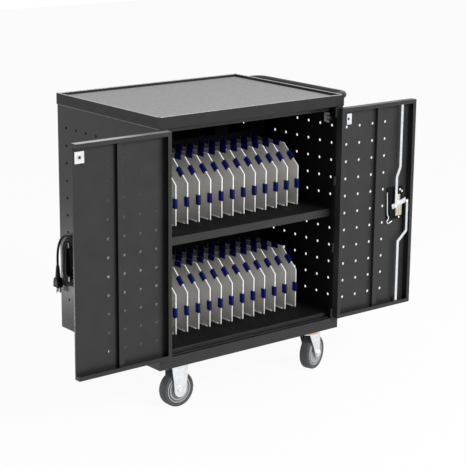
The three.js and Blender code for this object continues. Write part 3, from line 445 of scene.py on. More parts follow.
class Workshop:
    """Makes objects from meshes and curves, gives them materials and sets them on bodies."""

    def __init__(self, shelf: MaterialShelf) -> None:
        self.shelf = shelf

    def mesh(self, name: str, bm: BMesh, finish: str, body: str, slot: Slot,
             replaces: Sequence[str] = ()) -> Object:
        """Adds a mesh piece.

        Args:
            name: The piece's name.
            bm: Its mesh, which is used up.
            finish: A key of FINISHES.
            body: The body that it rides on.
            slot: The record's slot; not used.
            replaces: CAD nodes that it stands for.

        Returns:
            The new object.
        """
        data = bpy.data.meshes.new(name)
        bm.to_mesh(data)
        bm.free()
        data.shade_smooth()
        data.set_sharp_from_angle(angle=math.radians(32))
        return self._place(bpy.data.objects.new(name, data), finish, body, replaces)

    def tube(self, name: str, points: Sequence[Vector], radius: float, finish: str, body: str, slot: Slot,
             replaces: Sequence[str] = (), sides: int = 6) -> Object:
        """Adds a round tube along points, as a curve of one open spline.

        Args:
            name: The piece's name.
            points: The middle line.
            radius: The tube's radius.
            finish: A key of FINISHES.
            body: The body that it rides on.
            slot: The record's slot; not used.
            replaces: CAD nodes that it stands for.
            sides: Bevel resolution of the section.

        Returns:
            The new object.
        """
        curve = bpy.data.curves.new(name, "CURVE")
        curve.dimensions = "3D"
        curve.bevel_depth = radius
        curve.bevel_resolution = sides
        curve.use_fill_caps = True
        spline = curve.splines.new("POLY")
        spline.points.add(len(points) - 1)
        for point, place in zip(spline.points, points):
            point.co = (*place, 1.0)
        spline.use_smooth = True
        return self._place(bpy.data.objects.new(name, curve), finish, body, replaces)

    def _place(self, obj: Object, finish: str, body: str, replaces: Sequence[str]) -> Object:
        """Links an object, gives it its material and sets it on its body.

        Args:
            obj: The object.
            finish: A key of FINISHES.
            body: The body that it rides on.
            replaces: CAD nodes that it stands for.

        Returns:
            The same object.
        """
        obj.data.materials.append(self.shelf.get(finish))
        bpy.context.scene.collection.objects.link(obj)
        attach(obj, body)
        if replaces:
            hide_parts(*replaces)
        LOG.info("%s: %s, on %s", obj.name, finish, body)
        return obj


# CAD nodes that keep their own shape


@dataclass(frozen=True)
class FacePatch:
    """Faces of a CAD node that look one way and get a finish of their own, which paints shade or a highlight on them.

    Attributes:
        node: The CAD node.
        way: The direction that the faces look.
        finish: Their finish.
        near: How far behind the node's outermost point they lie at least.
        far: How far behind it they lie at most.
    """

    node: str
    way: tuple[int, int, int]
    finish: str
    near: float = -MM
    far: float = math.inf


class CarriedNodes:
    """Gives the CAD nodes that stay in view their finishes."""

    BY_SLOT = {
        Slot.BLACK_STEEL: "powder_coat",
        Slot.MAT: "mat",
        Slot.DIVIDER: "off_white",
        Slot.ZINC: "zinc",
        Slot.WHEEL: "tyre",
        Slot.BLACK_PLASTIC: "black_plastic",
        Slot.CORD: "cord",
    }

    # The partition and the power strip take the near-black painted-shade coat, as they lie in shade; the top tray takes
    # a darker copy of the powder coat, also painted shade.
    BY_NODE = {"partition": "painted_shade_coat", "power_strip": "painted_shade_coat", "top_tray": "painted_shade_tray_coat"}

    # Faces that lie in shade take the painted-shade coat: the side panels' inner faces, the tops of the shelf and the
    # pan, and the doors' deep flange faces. The left door's top faces take the light grey of a painted highlight.
    PATCHES = (
        FacePatch("left_side_panel", (1, 0, 0), "painted_shade_coat"),
        FacePatch("right_side_panel", (-1, 0, 0), "painted_shade_coat"),
        FacePatch("mid_shelf", (0, 0, 1), "painted_shade_coat"),
        FacePatch("base_pan", (0, 0, 1), "painted_shade_coat"),
        FacePatch("left_door", (0, 0, 1), "painted_highlight_hem", far=3 * MM),
        FacePatch("left_door", (0, 0, 1), "painted_shade_coat", near=20 * MM),
        FacePatch("left_door", (-1, 0, 0), "painted_shade_coat", near=20 * MM),
        FacePatch("right_door", (0, 0, 1), "painted_shade_coat", near=20 * MM),
    )
    TILT = 0.9

    def __init__(self, shop: Workshop) -> None:
        self.shop = shop

    def dress(self) -> None:
        """Sets each node's material from its own finish or from its slot in the record."""
        for entry in frame["record"]["subparts"]:
            node = frame["nodes"][entry["node"]]
            finish = self.BY_NODE.get(entry["node"], self.BY_SLOT[Slot(entry["material_slot"])])
            node.data.materials.clear()
            node.data.materials.append(self.shop.shelf.get(finish))
            LOG.info("%s: %s, kept from the CAD", entry["node"], finish)
        for patch in self.PATCHES:
            self._dress_faces(patch)

    def _dress_faces(self, patch: FacePatch) -> None:
        """Gives some of a node's faces another finish, which paints shade or a highlight on them.

        Args:
            patch: The faces and their finish.
        """
        node, way = frame["nodes"][patch.node], Vector(patch.way)
        node.data.materials.append(self.shop.shelf.get(patch.finish))
        turn = node.matrix_world
        outermost = max((turn @ vertex.co).dot(way) for vertex in node.data.vertices)
        for face in node.data.polygons:
            depth = outermost - (turn @ face.center).dot(way)
            if patch.near <= depth < patch.far and (turn.to_3x3() @ face.normal).dot(way) > self.TILT:
                face.material_index = len(node.data.materials) - 1


# Mains lead


@dataclass(frozen=True)
class LeadSizes:
    """The mains lead's sizes, in metres, as the CAD source has them.

    Attributes:
        radius: The cord's radius.
        loops: Loops in each of the hank's two layers.
        steps: Points in a loop.
        inner: Radius of the innermost bend.
        pitch: Distance between loops side by side.
        layer: Distance between the layers.
        standoff: From the panel's face to the first layer's middle.
        half_run: Half the straight run between the bends.
        climb: Share of a turn in which the hank changes layer.
        entry: Straight length between the gland and the first bend.
        tail_gap: Length of the straight end of the hank.
    """

    radius: float = 3.5 * MM
    loops: int = 3
    steps: int = 48
    inner: float = 21.5 * MM
    pitch: float = 7.6 * MM
    layer: float = 7.7 * MM
    standoff: float = 7.5 * MM
    half_run: float = 28 * MM
    climb: float = 0.8
    entry: float = 14 * MM
    tail_gap: float = 7.3 * MM


class MainsLead:
    """The lead from the gland, round its cleat and down to its plug."""

    TAIL = ((14, -0.7), (31, -7.5), (46, -21), (56, -40), (61.5, -62))
    TAIL_SMOOTHING = 6

    def __init__(self, shop: Workshop, sizes: LeadSizes = LeadSizes()) -> None:
        self.shop = shop
        self.sizes = sizes
        cleat = Box.of("cord_cleat")
        self.y = cleat.centre.y
        self.z = cleat.centre.z
        self.x = Box.of("left_side_panel").low.x - sizes.standoff
        self.outer = sizes.inner + sizes.loops * sizes.pitch
        self.top = self.z + sizes.half_run + self.outer
        self.plug_box = Box.of("plug")

    def make(self) -> None:
        route = self._hank() + self._tail()
        cord = self.shop.tube("mains_lead", route, self.sizes.radius, "cord", Body.CABINET, Slot.CORD,
                              replaces=("cord_hank", "cord_tail"))
        plug = self._plug_body()
        blades = self._plug_blades()

    def _loop_point(self, share: float, radius: float) -> tuple[float, float]:
        """A point of a racetrack loop, from its top going rearwards and down.

        Args:
            share: How much of the loop has gone by, from 0 to 1.
            radius: The bends' radius.

        Returns:
            The point's y and z.
        """
        sixth, run = share * 6, self.sizes.half_run
        if 1 < sixth <= 2:
            return self.y + radius, self.z + run * (3 - 2 * sixth)
        if 4 < sixth <= 5:
            return self.y - radius, self.z + run * (2 * sixth - 9)
        straights = 0 if sixth <= 1 else 1 if sixth <= 4 else 2
        angle = math.pi / 2 - (sixth - straights) * math.pi / 2
        end = -run if straights == 1 else run
        return self.y + radius * math.cos(angle), self.z + end + radius * math.sin(angle)

    def _hank(self) -> list[Vector]:
        """The gland's end, the loops in and out again, and the straight end.

        Returns:
            The hank's points.
        """
        sizes = self.sizes
        points = [Vector((self.x, self.y - sizes.entry, self.top))]
        for step in range(2 * sizes.loops * sizes.steps + 1):
            turn = step / sizes.steps - sizes.loops
            radius = sizes.inner + sizes.pitch * abs(turn)
            rise = min(1.0, max(0.0, turn / sizes.climb + 0.5))
            climb = rise * rise * (3 - 2 * rise)
            share = (step % sizes.steps) / sizes.steps
            points.append(Vector((self.x - climb * sizes.layer, *self._loop_point(share, radius))))
        return points

    def _tail(self) -> list[Vector]:
        """The tail from the hank's end to the plug, smoothed through its chosen points.

        Returns:
            The tail's points.
        """
        x = self.x - self.sizes.layer
        start = self.y + self.sizes.tail_gap
        end = Vector((x, self.plug_box.centre.y, self.plug_box.high.z))
        chosen = [Vector((x, self.y, self.top)), Vector((x, start, self.top))]
        chosen += [Vector((x, start + dy * MM, self.top + dz * MM)) for dy, dz in self.TAIL]
        chosen += [end + Vector((0, 0, 4 * self.sizes.radius)), end, end - Vector((0, 0, 4 * self.sizes.radius))]
        points = []
        for p0, p1, p2, p3 in zip(chosen, chosen[1:], chosen[2:], chosen[3:]):
            for k in range(self.TAIL_SMOOTHING):
                t = k / self.TAIL_SMOOTHING
                points.append(0.5 * (2 * p1 + (p2 - p0) * t + (2 * p0 - 5 * p1 + 4 * p2 - p3) * t ** 2
                                     + (3 * p1 - p0 - 3 * p2 + p3) * t ** 3))
        return points + [end]

    def _plug_body(self) -> Object:
        """The moulded plug with its ribbed strain relief.

        Returns:
            The plug's object.
        """
        box = self.plug_box
        boot_length, body_length = 36 * MM, 28 * MM
        centre, half = box.centre, box.size / 2
        body_top = box.high.z - boot_length
        shoulder = body_top - body_length / 2
        low = body_top - body_length
        neck = half.y * 0.7
        outline = [
            (-half.y, low), (half.y, low), (half.y, shoulder), (neck, body_top), (-neck, body_top), (-half.y, shoulder),
        ]
        body = Forms.prism([(box.low.x, centre.y + y, z) for y, z in outline], (box.size.x, 0, 0), bevel=2.2 * MM)
        ribs, tip, root = 7, 4.8 * MM, 8 * MM
        profile = [(0.0, -2 * MM), (root, -2 * MM)]
        for rib in range(ribs):
            share = rib / ribs
            radius = root + (tip - root) * share
            foot = boot_length * share
            profile += [(radius, foot), (radius, foot + 3.2 * MM), (radius - 0.9 * MM, foot + 3.6 * MM),
                        (radius - 0.9 * MM, foot + 4.8 * MM)]
        profile += [(tip - 0.9 * MM, boot_length), (0.0, boot_length)]
        boot = Forms.turned(profile, (centre.x, centre.y, body_top), (0, 0, 1), 24)
        return self.shop.mesh("plug_body", Forms.merged([body, boot]), "black_plastic", Body.CABINET,
                              Slot.BLACK_PLASTIC, replaces=("plug",))

    def _plug_blades(self) -> Object:
        """The plug's two blades and earth pin.

        Returns:
            Their object.
        """
        box, centre = self.plug_box, self.plug_box.centre
        face = box.high.z - 64 * MM
        blades = []
        for side in (-1, 1):
            y = centre.y + side * 6.35 * MM
            blades.append(Forms.block((centre.x - 0.3 * MM, y - 0.8 * MM, face - 16 * MM),
                                      (centre.x + 6 * MM, y + 0.8 * MM, face + 1 * MM), 0.4 * MM))
        pin = [(0.0, 1 * MM), (2.4 * MM, 1 * MM), (2.4 * MM, -15 * MM), (1.2 * MM, -17.4 * MM), (0.0, -17.5 * MM)]
        blades.append(Forms.turned(pin, (centre.x - 6 * MM, centre.y, face), (0, 0, 1), 16))
        return self.shop.mesh("plug_blades", Forms.merged(blades), "zinc", Body.CABINET, Slot.ZINC)


# Dividers


@dataclass(frozen=True)
class DividerSizes:
    """Sizes of a divider and its clips, in metres.

    Attributes:
        count: Dividers in a row.
        thickness: The sheet's thickness.
        front: The front edge's height.
        slope: How far back the slope reaches.
        height: Height of the top edge.
        foot: Width of the foot flange.
        foot_thickness: Thickness of the foot flange.
        clip_length: A clip's length along the edge.
        clip_width: A clip's width across the sheet.
        grip: How far a clip reaches over the sheet.
        proud: How far a clip stands in front of the edge.
        front_clip: Height of the front clip's middle.
        top_clips: Distance of each top clip's middle behind the front edge.
    """

    count: int = 14
    thickness: float = 4 * MM
    front: float = 114 * MM
    slope: float = 65 * MM
    height: float = 172 * MM
    foot: float = 4 * MM
    foot_thickness: float = 2 * MM
    clip_length: float = 28 * MM
    clip_width: float = 8.5 * MM
    grip: float = 12 * MM
    proud: float = 3 * MM
    front_clip: float = 62 * MM
    top_clips: tuple[float, ...] = (96 * MM, 146 * MM, 196 * MM)


class Dividers:
    """The two rows of off-white laptop dividers with navy edge clips."""

    ROWS = ("upper", "lower")
    EDGE_TILT = 0.9

    def __init__(self, shop: Workshop, sizes: DividerSizes = DividerSizes()) -> None:
        self.shop = shop
        self.sizes = sizes

    def make(self) -> None:
        """Adds both rows."""
        for row in self.ROWS:
            for number in range(1, self.sizes.count + 1):
                node = f"{row}_divider_{number:02d}"
                box = Box.of(node)
                front = Vector((box.centre.x, box.low.y + self.sizes.proud, box.low.z))
                depth = box.high.y - front.y
                sheet = self.shop.mesh(f"{node}_sheet", self._sheet(front, depth), "off_white", Body.CABINET,
                                       Slot.DIVIDER, replaces=(node,))
                self._paint_edge_highlight(sheet)
                self.shop.mesh(f"{node}_clips", self._clips(front), "navy", Body.CABINET, Slot.DIVIDER)

    def _paint_edge_highlight(self, sheet: Object) -> None:
        """Colours the sheet's edges near-white: a painted highlight where the edges catch the light.

        Args:
            sheet: The sheet's object.
        """
        sheet.data.materials.append(self.shop.shelf.get("painted_highlight_divider_edge"))
        for face in sheet.data.polygons:
            if abs(face.normal.x) < self.EDGE_TILT:
                face.material_index = 1

    def _sheet(self, front: Vector, depth: float) -> BMesh:
        """The bent sheet with its foot flange.

        Args:
            front: The foot of the front edge, in the sheet's middle.
            depth: The sheet's length from front to back.

        Returns:
            The sheet.
        """
        sizes = self.sizes
        half = sizes.thickness / 2
        outline = [(0, 0), (0, sizes.front), (sizes.slope, sizes.height), (depth, sizes.height), (depth, 0)]
        corners = [front + Vector((-half, y, z)) for y, z in outline]
        sheet = Forms.prism(corners, (sizes.thickness, 0, 0), bevel=0.9 * MM)
        low = front + Vector((-half - sizes.foot, 2 * sizes.thickness, 0))
        high = front + Vector((0, depth - sizes.thickness, sizes.foot_thickness))
        return Forms.merged([sheet, Forms.block(low, high, 0.6 * MM)])

    def _clip(self, place: Vector, along: Vector) -> BMesh:
        """A clip over the sheet's edge.

        Args:
            place: The middle of the edge under the clip.
            along: Direction of the edge, so that the outside is on its left as seen from +X.

        Returns:
            The clip, as one rounded block.
        """
        sizes = self.sizes
        out = Vector((1, 0, 0)).cross(along)
        turn = Matrix((Vector((1, 0, 0)), along, out)).transposed().to_4x4()
        half, side = sizes.clip_length / 2, sizes.clip_width / 2
        body = Forms.block((-side, -half, -sizes.grip), (side, half, sizes.proud), 1.8 * MM)
        bmesh.ops.transform(body, matrix=Matrix.Translation(place) @ turn, verts=body.verts)
        return body

    def _clips(self, front: Vector) -> BMesh:
        """All the clips of a divider.

        Args:
            front: The foot of the front edge, in the sheet's middle.

        Returns:
            The clips.
        """
        sizes = self.sizes
        up, back = Vector((0, 0, 1)), Vector((0, 1, 0))
        slope = Vector((0, sizes.slope, sizes.height - sizes.front))
        clips = [
            self._clip(front + up * sizes.front_clip, up),
            self._clip(front + up * sizes.front + slope / 2, slope.normalized()),
        ]
        clips += [self._clip(front + up * sizes.height + back * reach, back) for reach in sizes.top_clips]
        return Forms.merged(clips)


# Casters


@dataclass(frozen=True)
class CasterSizes:
    """Sizes of a caster's pieces, in metres.

    Attributes:
        tread: Radius of the tread.
        half_width: Half the wheel's width.
        hub: Radius where the tyre meets the hub.
        axle: Radius of the axle's bore.
        nut: Radius across the axle nut's corners.
        nut_height: Height of the axle nut.
        cheek: From the wheel's middle to a fork cheek's inner face.
        sheet: Thickness of the fork's sheet.
        plate: Thickness of the top plate.
        rigid_top: Half the width of a rigid cheek's top.
        rigid_foot: Radius of a rigid cheek's foot.
        swivel_lead: How far a swivel cheek's top reaches ahead of the axle.
        swivel_foot: Radius of a swivel cheek's foot.
        crown: Thickness of the swivel crown.
        race: Radius of the raceway.
        bolt: Radius of a plate bolt's head.
        bolt_inset: From the plate's edge to a bolt's middle.
    """

    tread: float = 50 * MM
    half_width: float = 15.5 * MM
    hub: float = 40 * MM
    axle: float = 6.2 * MM
    nut: float = 10.5 * MM
    nut_height: float = 5 * MM
    cheek: float = 18 * MM
    sheet: float = 3 * MM
    plate: float = 3 * MM
    rigid_top: float = 28 * MM
    rigid_foot: float = 20 * MM
    swivel_lead: float = 47 * MM
    swivel_foot: float = 13 * MM
    crown: float = 4 * MM
    race: float = 29 * MM
    bolt: float = 6 * MM
    bolt_inset: float = 13 * MM


class Casters:
    """Wheels, pressed forks, axle nuts, plate bolts and raceway seals of the four casters."""

    PLACES = ("rigid_front", "rigid_rear", "swivel_front", "swivel_rear")
    FOOT_STEPS = 24

    def __init__(self, shop: Workshop, sizes: CasterSizes = CasterSizes()) -> None:
        self.shop = shop
        self.sizes = sizes
        joints = frame["record"]["behaviour"]["joints"]
        self.axles = {j["child"]: Vector(j["axis"]).normalized() for j in joints if j["name"].endswith("_roll")}

    def make(self) -> None:
        """Dresses each caster."""
        for place in self.PLACES:
            swivels = place.startswith("swivel")
            carrier = place if swivels else Body.CABINET
            self._wheel(place)
            self._nuts(place, carrier)
            if swivels:
                self._swivel_fork(place)
                self._raceway(place, Box.of(f"{place}_plate"))
            else:
                self._rigid_fork(place)
            self._plate_bolts(place, Box.of(f"{place}_plate" if swivels else f"{place}_fork"))

    def _axle(self, place: str) -> tuple[Vector, Vector]:
        """A wheel's middle and the direction of its axle.

        Args:
            place: Which caster.

        Returns:
            The middle and the direction.
        """
        wheel = f"{place}_wheel"
        return Box.of(wheel).centre, self.axles[wheel]

    def _wheel(self, place: str) -> None:
        """The tyre and the ringed hub.

        Args:
            place: Which caster.
        """
        wheel, sizes = f"{place}_wheel", self.sizes
        rim, width = sizes.hub / MM, sizes.half_width / MM
        tyre_side = [(rim - 1, 11), (rim, 13.4), (44.5, 15), (47.8, 14.2), (49.4, 11.6), (sizes.tread / MM, 8)]
        self._turned_pair(f"{wheel}_tyre", place, tyre_side, "tyre", replaces=(wheel,))
        hub_side = [(sizes.axle / MM, width), (11.5, width), (12.5, 14.6), (13.2, 11), (21, 9.6), (26.5, 10.4),
                    (27, 13), (28, 13.6), (31.6, 13.6), (32, 6), (34, 6), (34.4, 13.4), (35.2, 14), (38, 14),
                    (rim - 1.2, 13), (rim - 1.2, 8)]
        self._turned_pair(f"{wheel}_hub", place, hub_side, "hub")

    def _turned_pair(self, name: str, place: str, side: Sequence[tuple[float, float]], finish: str,
                     replaces: Sequence[str] = ()) -> None:
        """A ring that is the same on both sides.

        Args:
            name: The piece's name.
            place: Which caster.
            side: One side's (radius, distance) points in millimetres, from one rim to the other.
            finish: A key of FINISHES.
            replaces: CAD nodes that it stands for.
        """
        centre, axle = self._axle(place)
        profile = [*side, *((r, -h) for r, h in reversed(side))]
        ring = Forms.turned([(r * MM, h * MM) for r, h in profile], centre, axle, 64, closed=True)
        self.shop.mesh(name, ring, finish, f"{place}_wheel", Slot.WHEEL, replaces)

    def _cheeks(self, place: str, lead: float, trail: float, top: float, foot: float) -> list[BMesh]:
        """The two cheeks of a fork, with round feet under the axle.

        Args:
            place: Which caster.
            lead: How far the top reaches ahead of the axle.
            trail: How far it reaches behind.
            top: The top's height above the axle.
            foot: Radius of the feet.

        Returns:
            The cheeks.
        """
        centre, axle = self._axle(place)
        ahead = axle.cross(Vector((0, 0, 1)))
        angles = [math.pi * (1 + step / self.FOOT_STEPS) for step in range(self.FOOT_STEPS + 1)]
        outline = [(trail, top), (-lead, top), *((foot * math.cos(a), foot * math.sin(a)) for a in angles)]
        cheeks = []
        for side in (-1, 1):
            face = centre + axle * side * self.sizes.cheek
            corners = [face + ahead * x + Vector((0, 0, z)) for x, z in outline]
            cheeks.append(Forms.prism(corners, axle * side * self.sizes.sheet, bevel=0.9 * MM))
        return cheeks

    def _rigid_fork(self, place: str) -> None:
        """A rigid fork: its plate and two wide cheeks.

        Args:
            place: Which caster.
        """
        sizes, box = self.sizes, Box.of(f"{place}_fork")
        centre, _ = self._axle(place)
        top = box.high.z - centre.z - sizes.plate / 2
        plate = Forms.block((box.low.x, box.low.y, box.high.z - sizes.plate), box.high, 1 * MM)
        cheeks = self._cheeks(place, sizes.rigid_top, sizes.rigid_top, top, sizes.rigid_foot)
        self.shop.mesh(f"{place}_pressed_fork", Forms.merged([plate, *cheeks]), "zinc", Body.CABINET, Slot.ZINC,
                       replaces=(f"{place}_fork",))

    def _swivel_fork(self, place: str) -> None:
        """A swivel fork: its round crown, the arm behind it and two tapered cheeks.

        Args:
            place: Which caster.
        """
        sizes = self.sizes
        centre, axle = self._axle(place)
        top = Box.of(f"{place}_fork").high.z
        pin = Box.of(f"{place}_plate").centre
        crown = [(8 * MM, -sizes.crown), (sizes.race + 3 * MM, -sizes.crown), (sizes.race + 4.4 * MM, -1.4 * MM),
                 (sizes.race + 3.4 * MM, 0), (8 * MM, 0)]
        ahead = axle.cross(Vector((0, 0, 1)))
        side = sizes.cheek + sizes.sheet
        corners = [Vector((pin.x, pin.y, 0)) + axle * side, Vector((pin.x, pin.y, 0)) - axle * side,
                   centre + ahead * sizes.swivel_foot - axle * side, centre + ahead * sizes.swivel_foot + axle * side]
        arm = Forms.prism([Vector((c.x, c.y, top - sizes.crown)) for c in corners], (0, 0, sizes.crown - 0.2 * MM), 1 * MM)
        cheeks = self._cheeks(place, sizes.swivel_lead, sizes.swivel_foot, top - sizes.crown / 2 - centre.z,
                              sizes.swivel_foot)
        round_crown = Forms.turned(crown, (pin.x, pin.y, top), (0, 0, 1), 48, closed=True)
        self.shop.mesh(f"{place}_pressed_fork", Forms.merged([round_crown, arm, *cheeks]), "zinc", place, Slot.ZINC,
                       replaces=(f"{place}_fork",))

    def _nuts(self, place: str, body: str) -> None:
        """The axle with a washer and a nut on each cheek.

        Args:
            place: Which caster.
            body: The body that carries the fork.
        """
        sizes = self.sizes
        centre, axle = self._axle(place)
        outer = sizes.cheek + sizes.sheet
        rod = [(0, -outer), (sizes.axle - 0.3 * MM, -outer), (sizes.axle - 0.3 * MM, outer), (0, outer)]
        parts = [Forms.turned(rod, centre, axle, 24)]
        for side in (-1, 1):
            face = centre + axle * side * outer
            washer = [(0, -0.5 * MM), (sizes.nut * 1.2, -0.5 * MM), (sizes.nut * 1.2, 1.3 * MM), (0, 1.3 * MM)]
            nut = [(0, 0), (sizes.nut, 0), (sizes.nut, sizes.nut_height - 1 * MM), (sizes.nut * 0.86, sizes.nut_height),
                   (sizes.axle, sizes.nut_height), (sizes.axle * 0.8, sizes.nut_height + 0.6 * MM),
                   (0, sizes.nut_height + 0.6 * MM)]
            parts += [Forms.turned(washer, face, axle * side, 28), Forms.turned(nut, face, axle * side, 6)]
        self.shop.mesh(f"{place}_axle", Forms.merged(parts), "zinc", body, Slot.ZINC)

    def _plate_bolts(self, place: str, plate: Box) -> None:
        """The four bolts that hold a caster's plate.

        Args:
            place: Which caster.
            plate: The box of the node that has the plate as its top.
        """
        sizes = self.sizes
        under = plate.high.z - sizes.plate
        head = [(0, 0.5 * MM), (sizes.bolt * 1.3, 0.5 * MM), (sizes.bolt * 1.3, -1.2 * MM), (sizes.bolt, -1.4 * MM),
                (sizes.bolt, -4.2 * MM), (sizes.bolt * 0.8, -5 * MM), (0, -5 * MM)]
        middle, half = plate.centre, plate.size / 2
        parts = [
            Forms.turned(head, (middle.x + sx * (half.x - sizes.bolt_inset), middle.y + sy * (half.y - sizes.bolt_inset),
                                under), (0, 0, 1), 12)
            for sx in (-1, 1) for sy in (-1, 1)
        ]
        self.shop.mesh(f"{place}_plate_bolts", Forms.merged(parts), "zinc", Body.CABINET, Slot.ZINC)

    def _raceway(self, place: str, plate: Box) -> None:
        """The copper-coloured seal round the swivel's ball race.

        Args:
            place: Which caster.
            plate: The plate's box.
        """
        race = self.sizes.race
        top = plate.high.z - self.sizes.plate - 0.6 * MM
        ring = [(race - 3 * MM, 0), (race + 5 * MM, 0), (race + 7 * MM, -3 * MM), (race + 6 * MM, -7.4 * MM),
                (race - 3 * MM, -8 * MM)]
        mesh = Forms.turned(ring, (plate.centre.x, plate.centre.y, top), (0, 0, 1), 48, closed=True)
        self.shop.mesh(f"{place}_race_seal", mesh, "copper", Body.CABINET, Slot.ZINC)


# Push handle


class PushHandle:
    """The bent tube at the right-hand end, with its end flanges."""

    RADIUS = 10 * MM
    BEND = 32 * MM
    BEND_STEPS = 12

    def __init__(self, shop: Workshop) -> None:
        self.shop = shop
        self.box = Box.of("push_handle")

    def make(self) -> None:
        """Adds the smooth tube and its flanges."""
        box, r, bend = self.box, self.RADIUS, self.BEND
        far = box.high.x - r
        y0, y1, z = box.low.y + r, box.high.y - r, box.centre.z
        points = [Vector((box.low.x, y0, z))]
        points += self._corner((far - bend, y0, z), (far, y0, z), (far, y0 + bend, z))
        points += self._corner((far, y1 - bend, z), (far, y1, z), (far - bend, y1, z))
        points.append(Vector((box.low.x, y1, z)))
        self.shop.tube("push_handle_tube", points, r, "powder_coat", Body.CABINET, Slot.BLACK_STEEL,
                       replaces=("push_handle",), sides=8)
        flange = [(0, 0), (r * 1.25, 0), (r * 1.25, 1.6 * MM), (r * 1.1, 2.4 * MM), (0, 2.4 * MM)]
        ends = [Forms.turned(flange, (box.low.x, y, z), (1, 0, 0), 40) for y in (y0, y1)]
        self.shop.mesh("push_handle_flanges", Forms.merged(ends), "powder_coat", Body.CABINET, Slot.BLACK_STEEL)

    def _corner(self, start: Sequence[float], corner: Sequence[float], end: Sequence[float]) -> list[Vector]:
        """A quadratic bend.

        Args:
            start: Where the bend begins.
            corner: The corner that it rounds.
            end: Where it ends.

        Returns:
            Its points.
        """
        a, b, c = Vector(start), Vector(corner), Vector(end)
        shares = [k / self.BEND_STEPS for k in range(self.BEND_STEPS + 1)]
        return [a * (1 - t) ** 2 + b * 2 * t * (1 - t) + c * t ** 2 for t in shares]


# Rod lock and plates


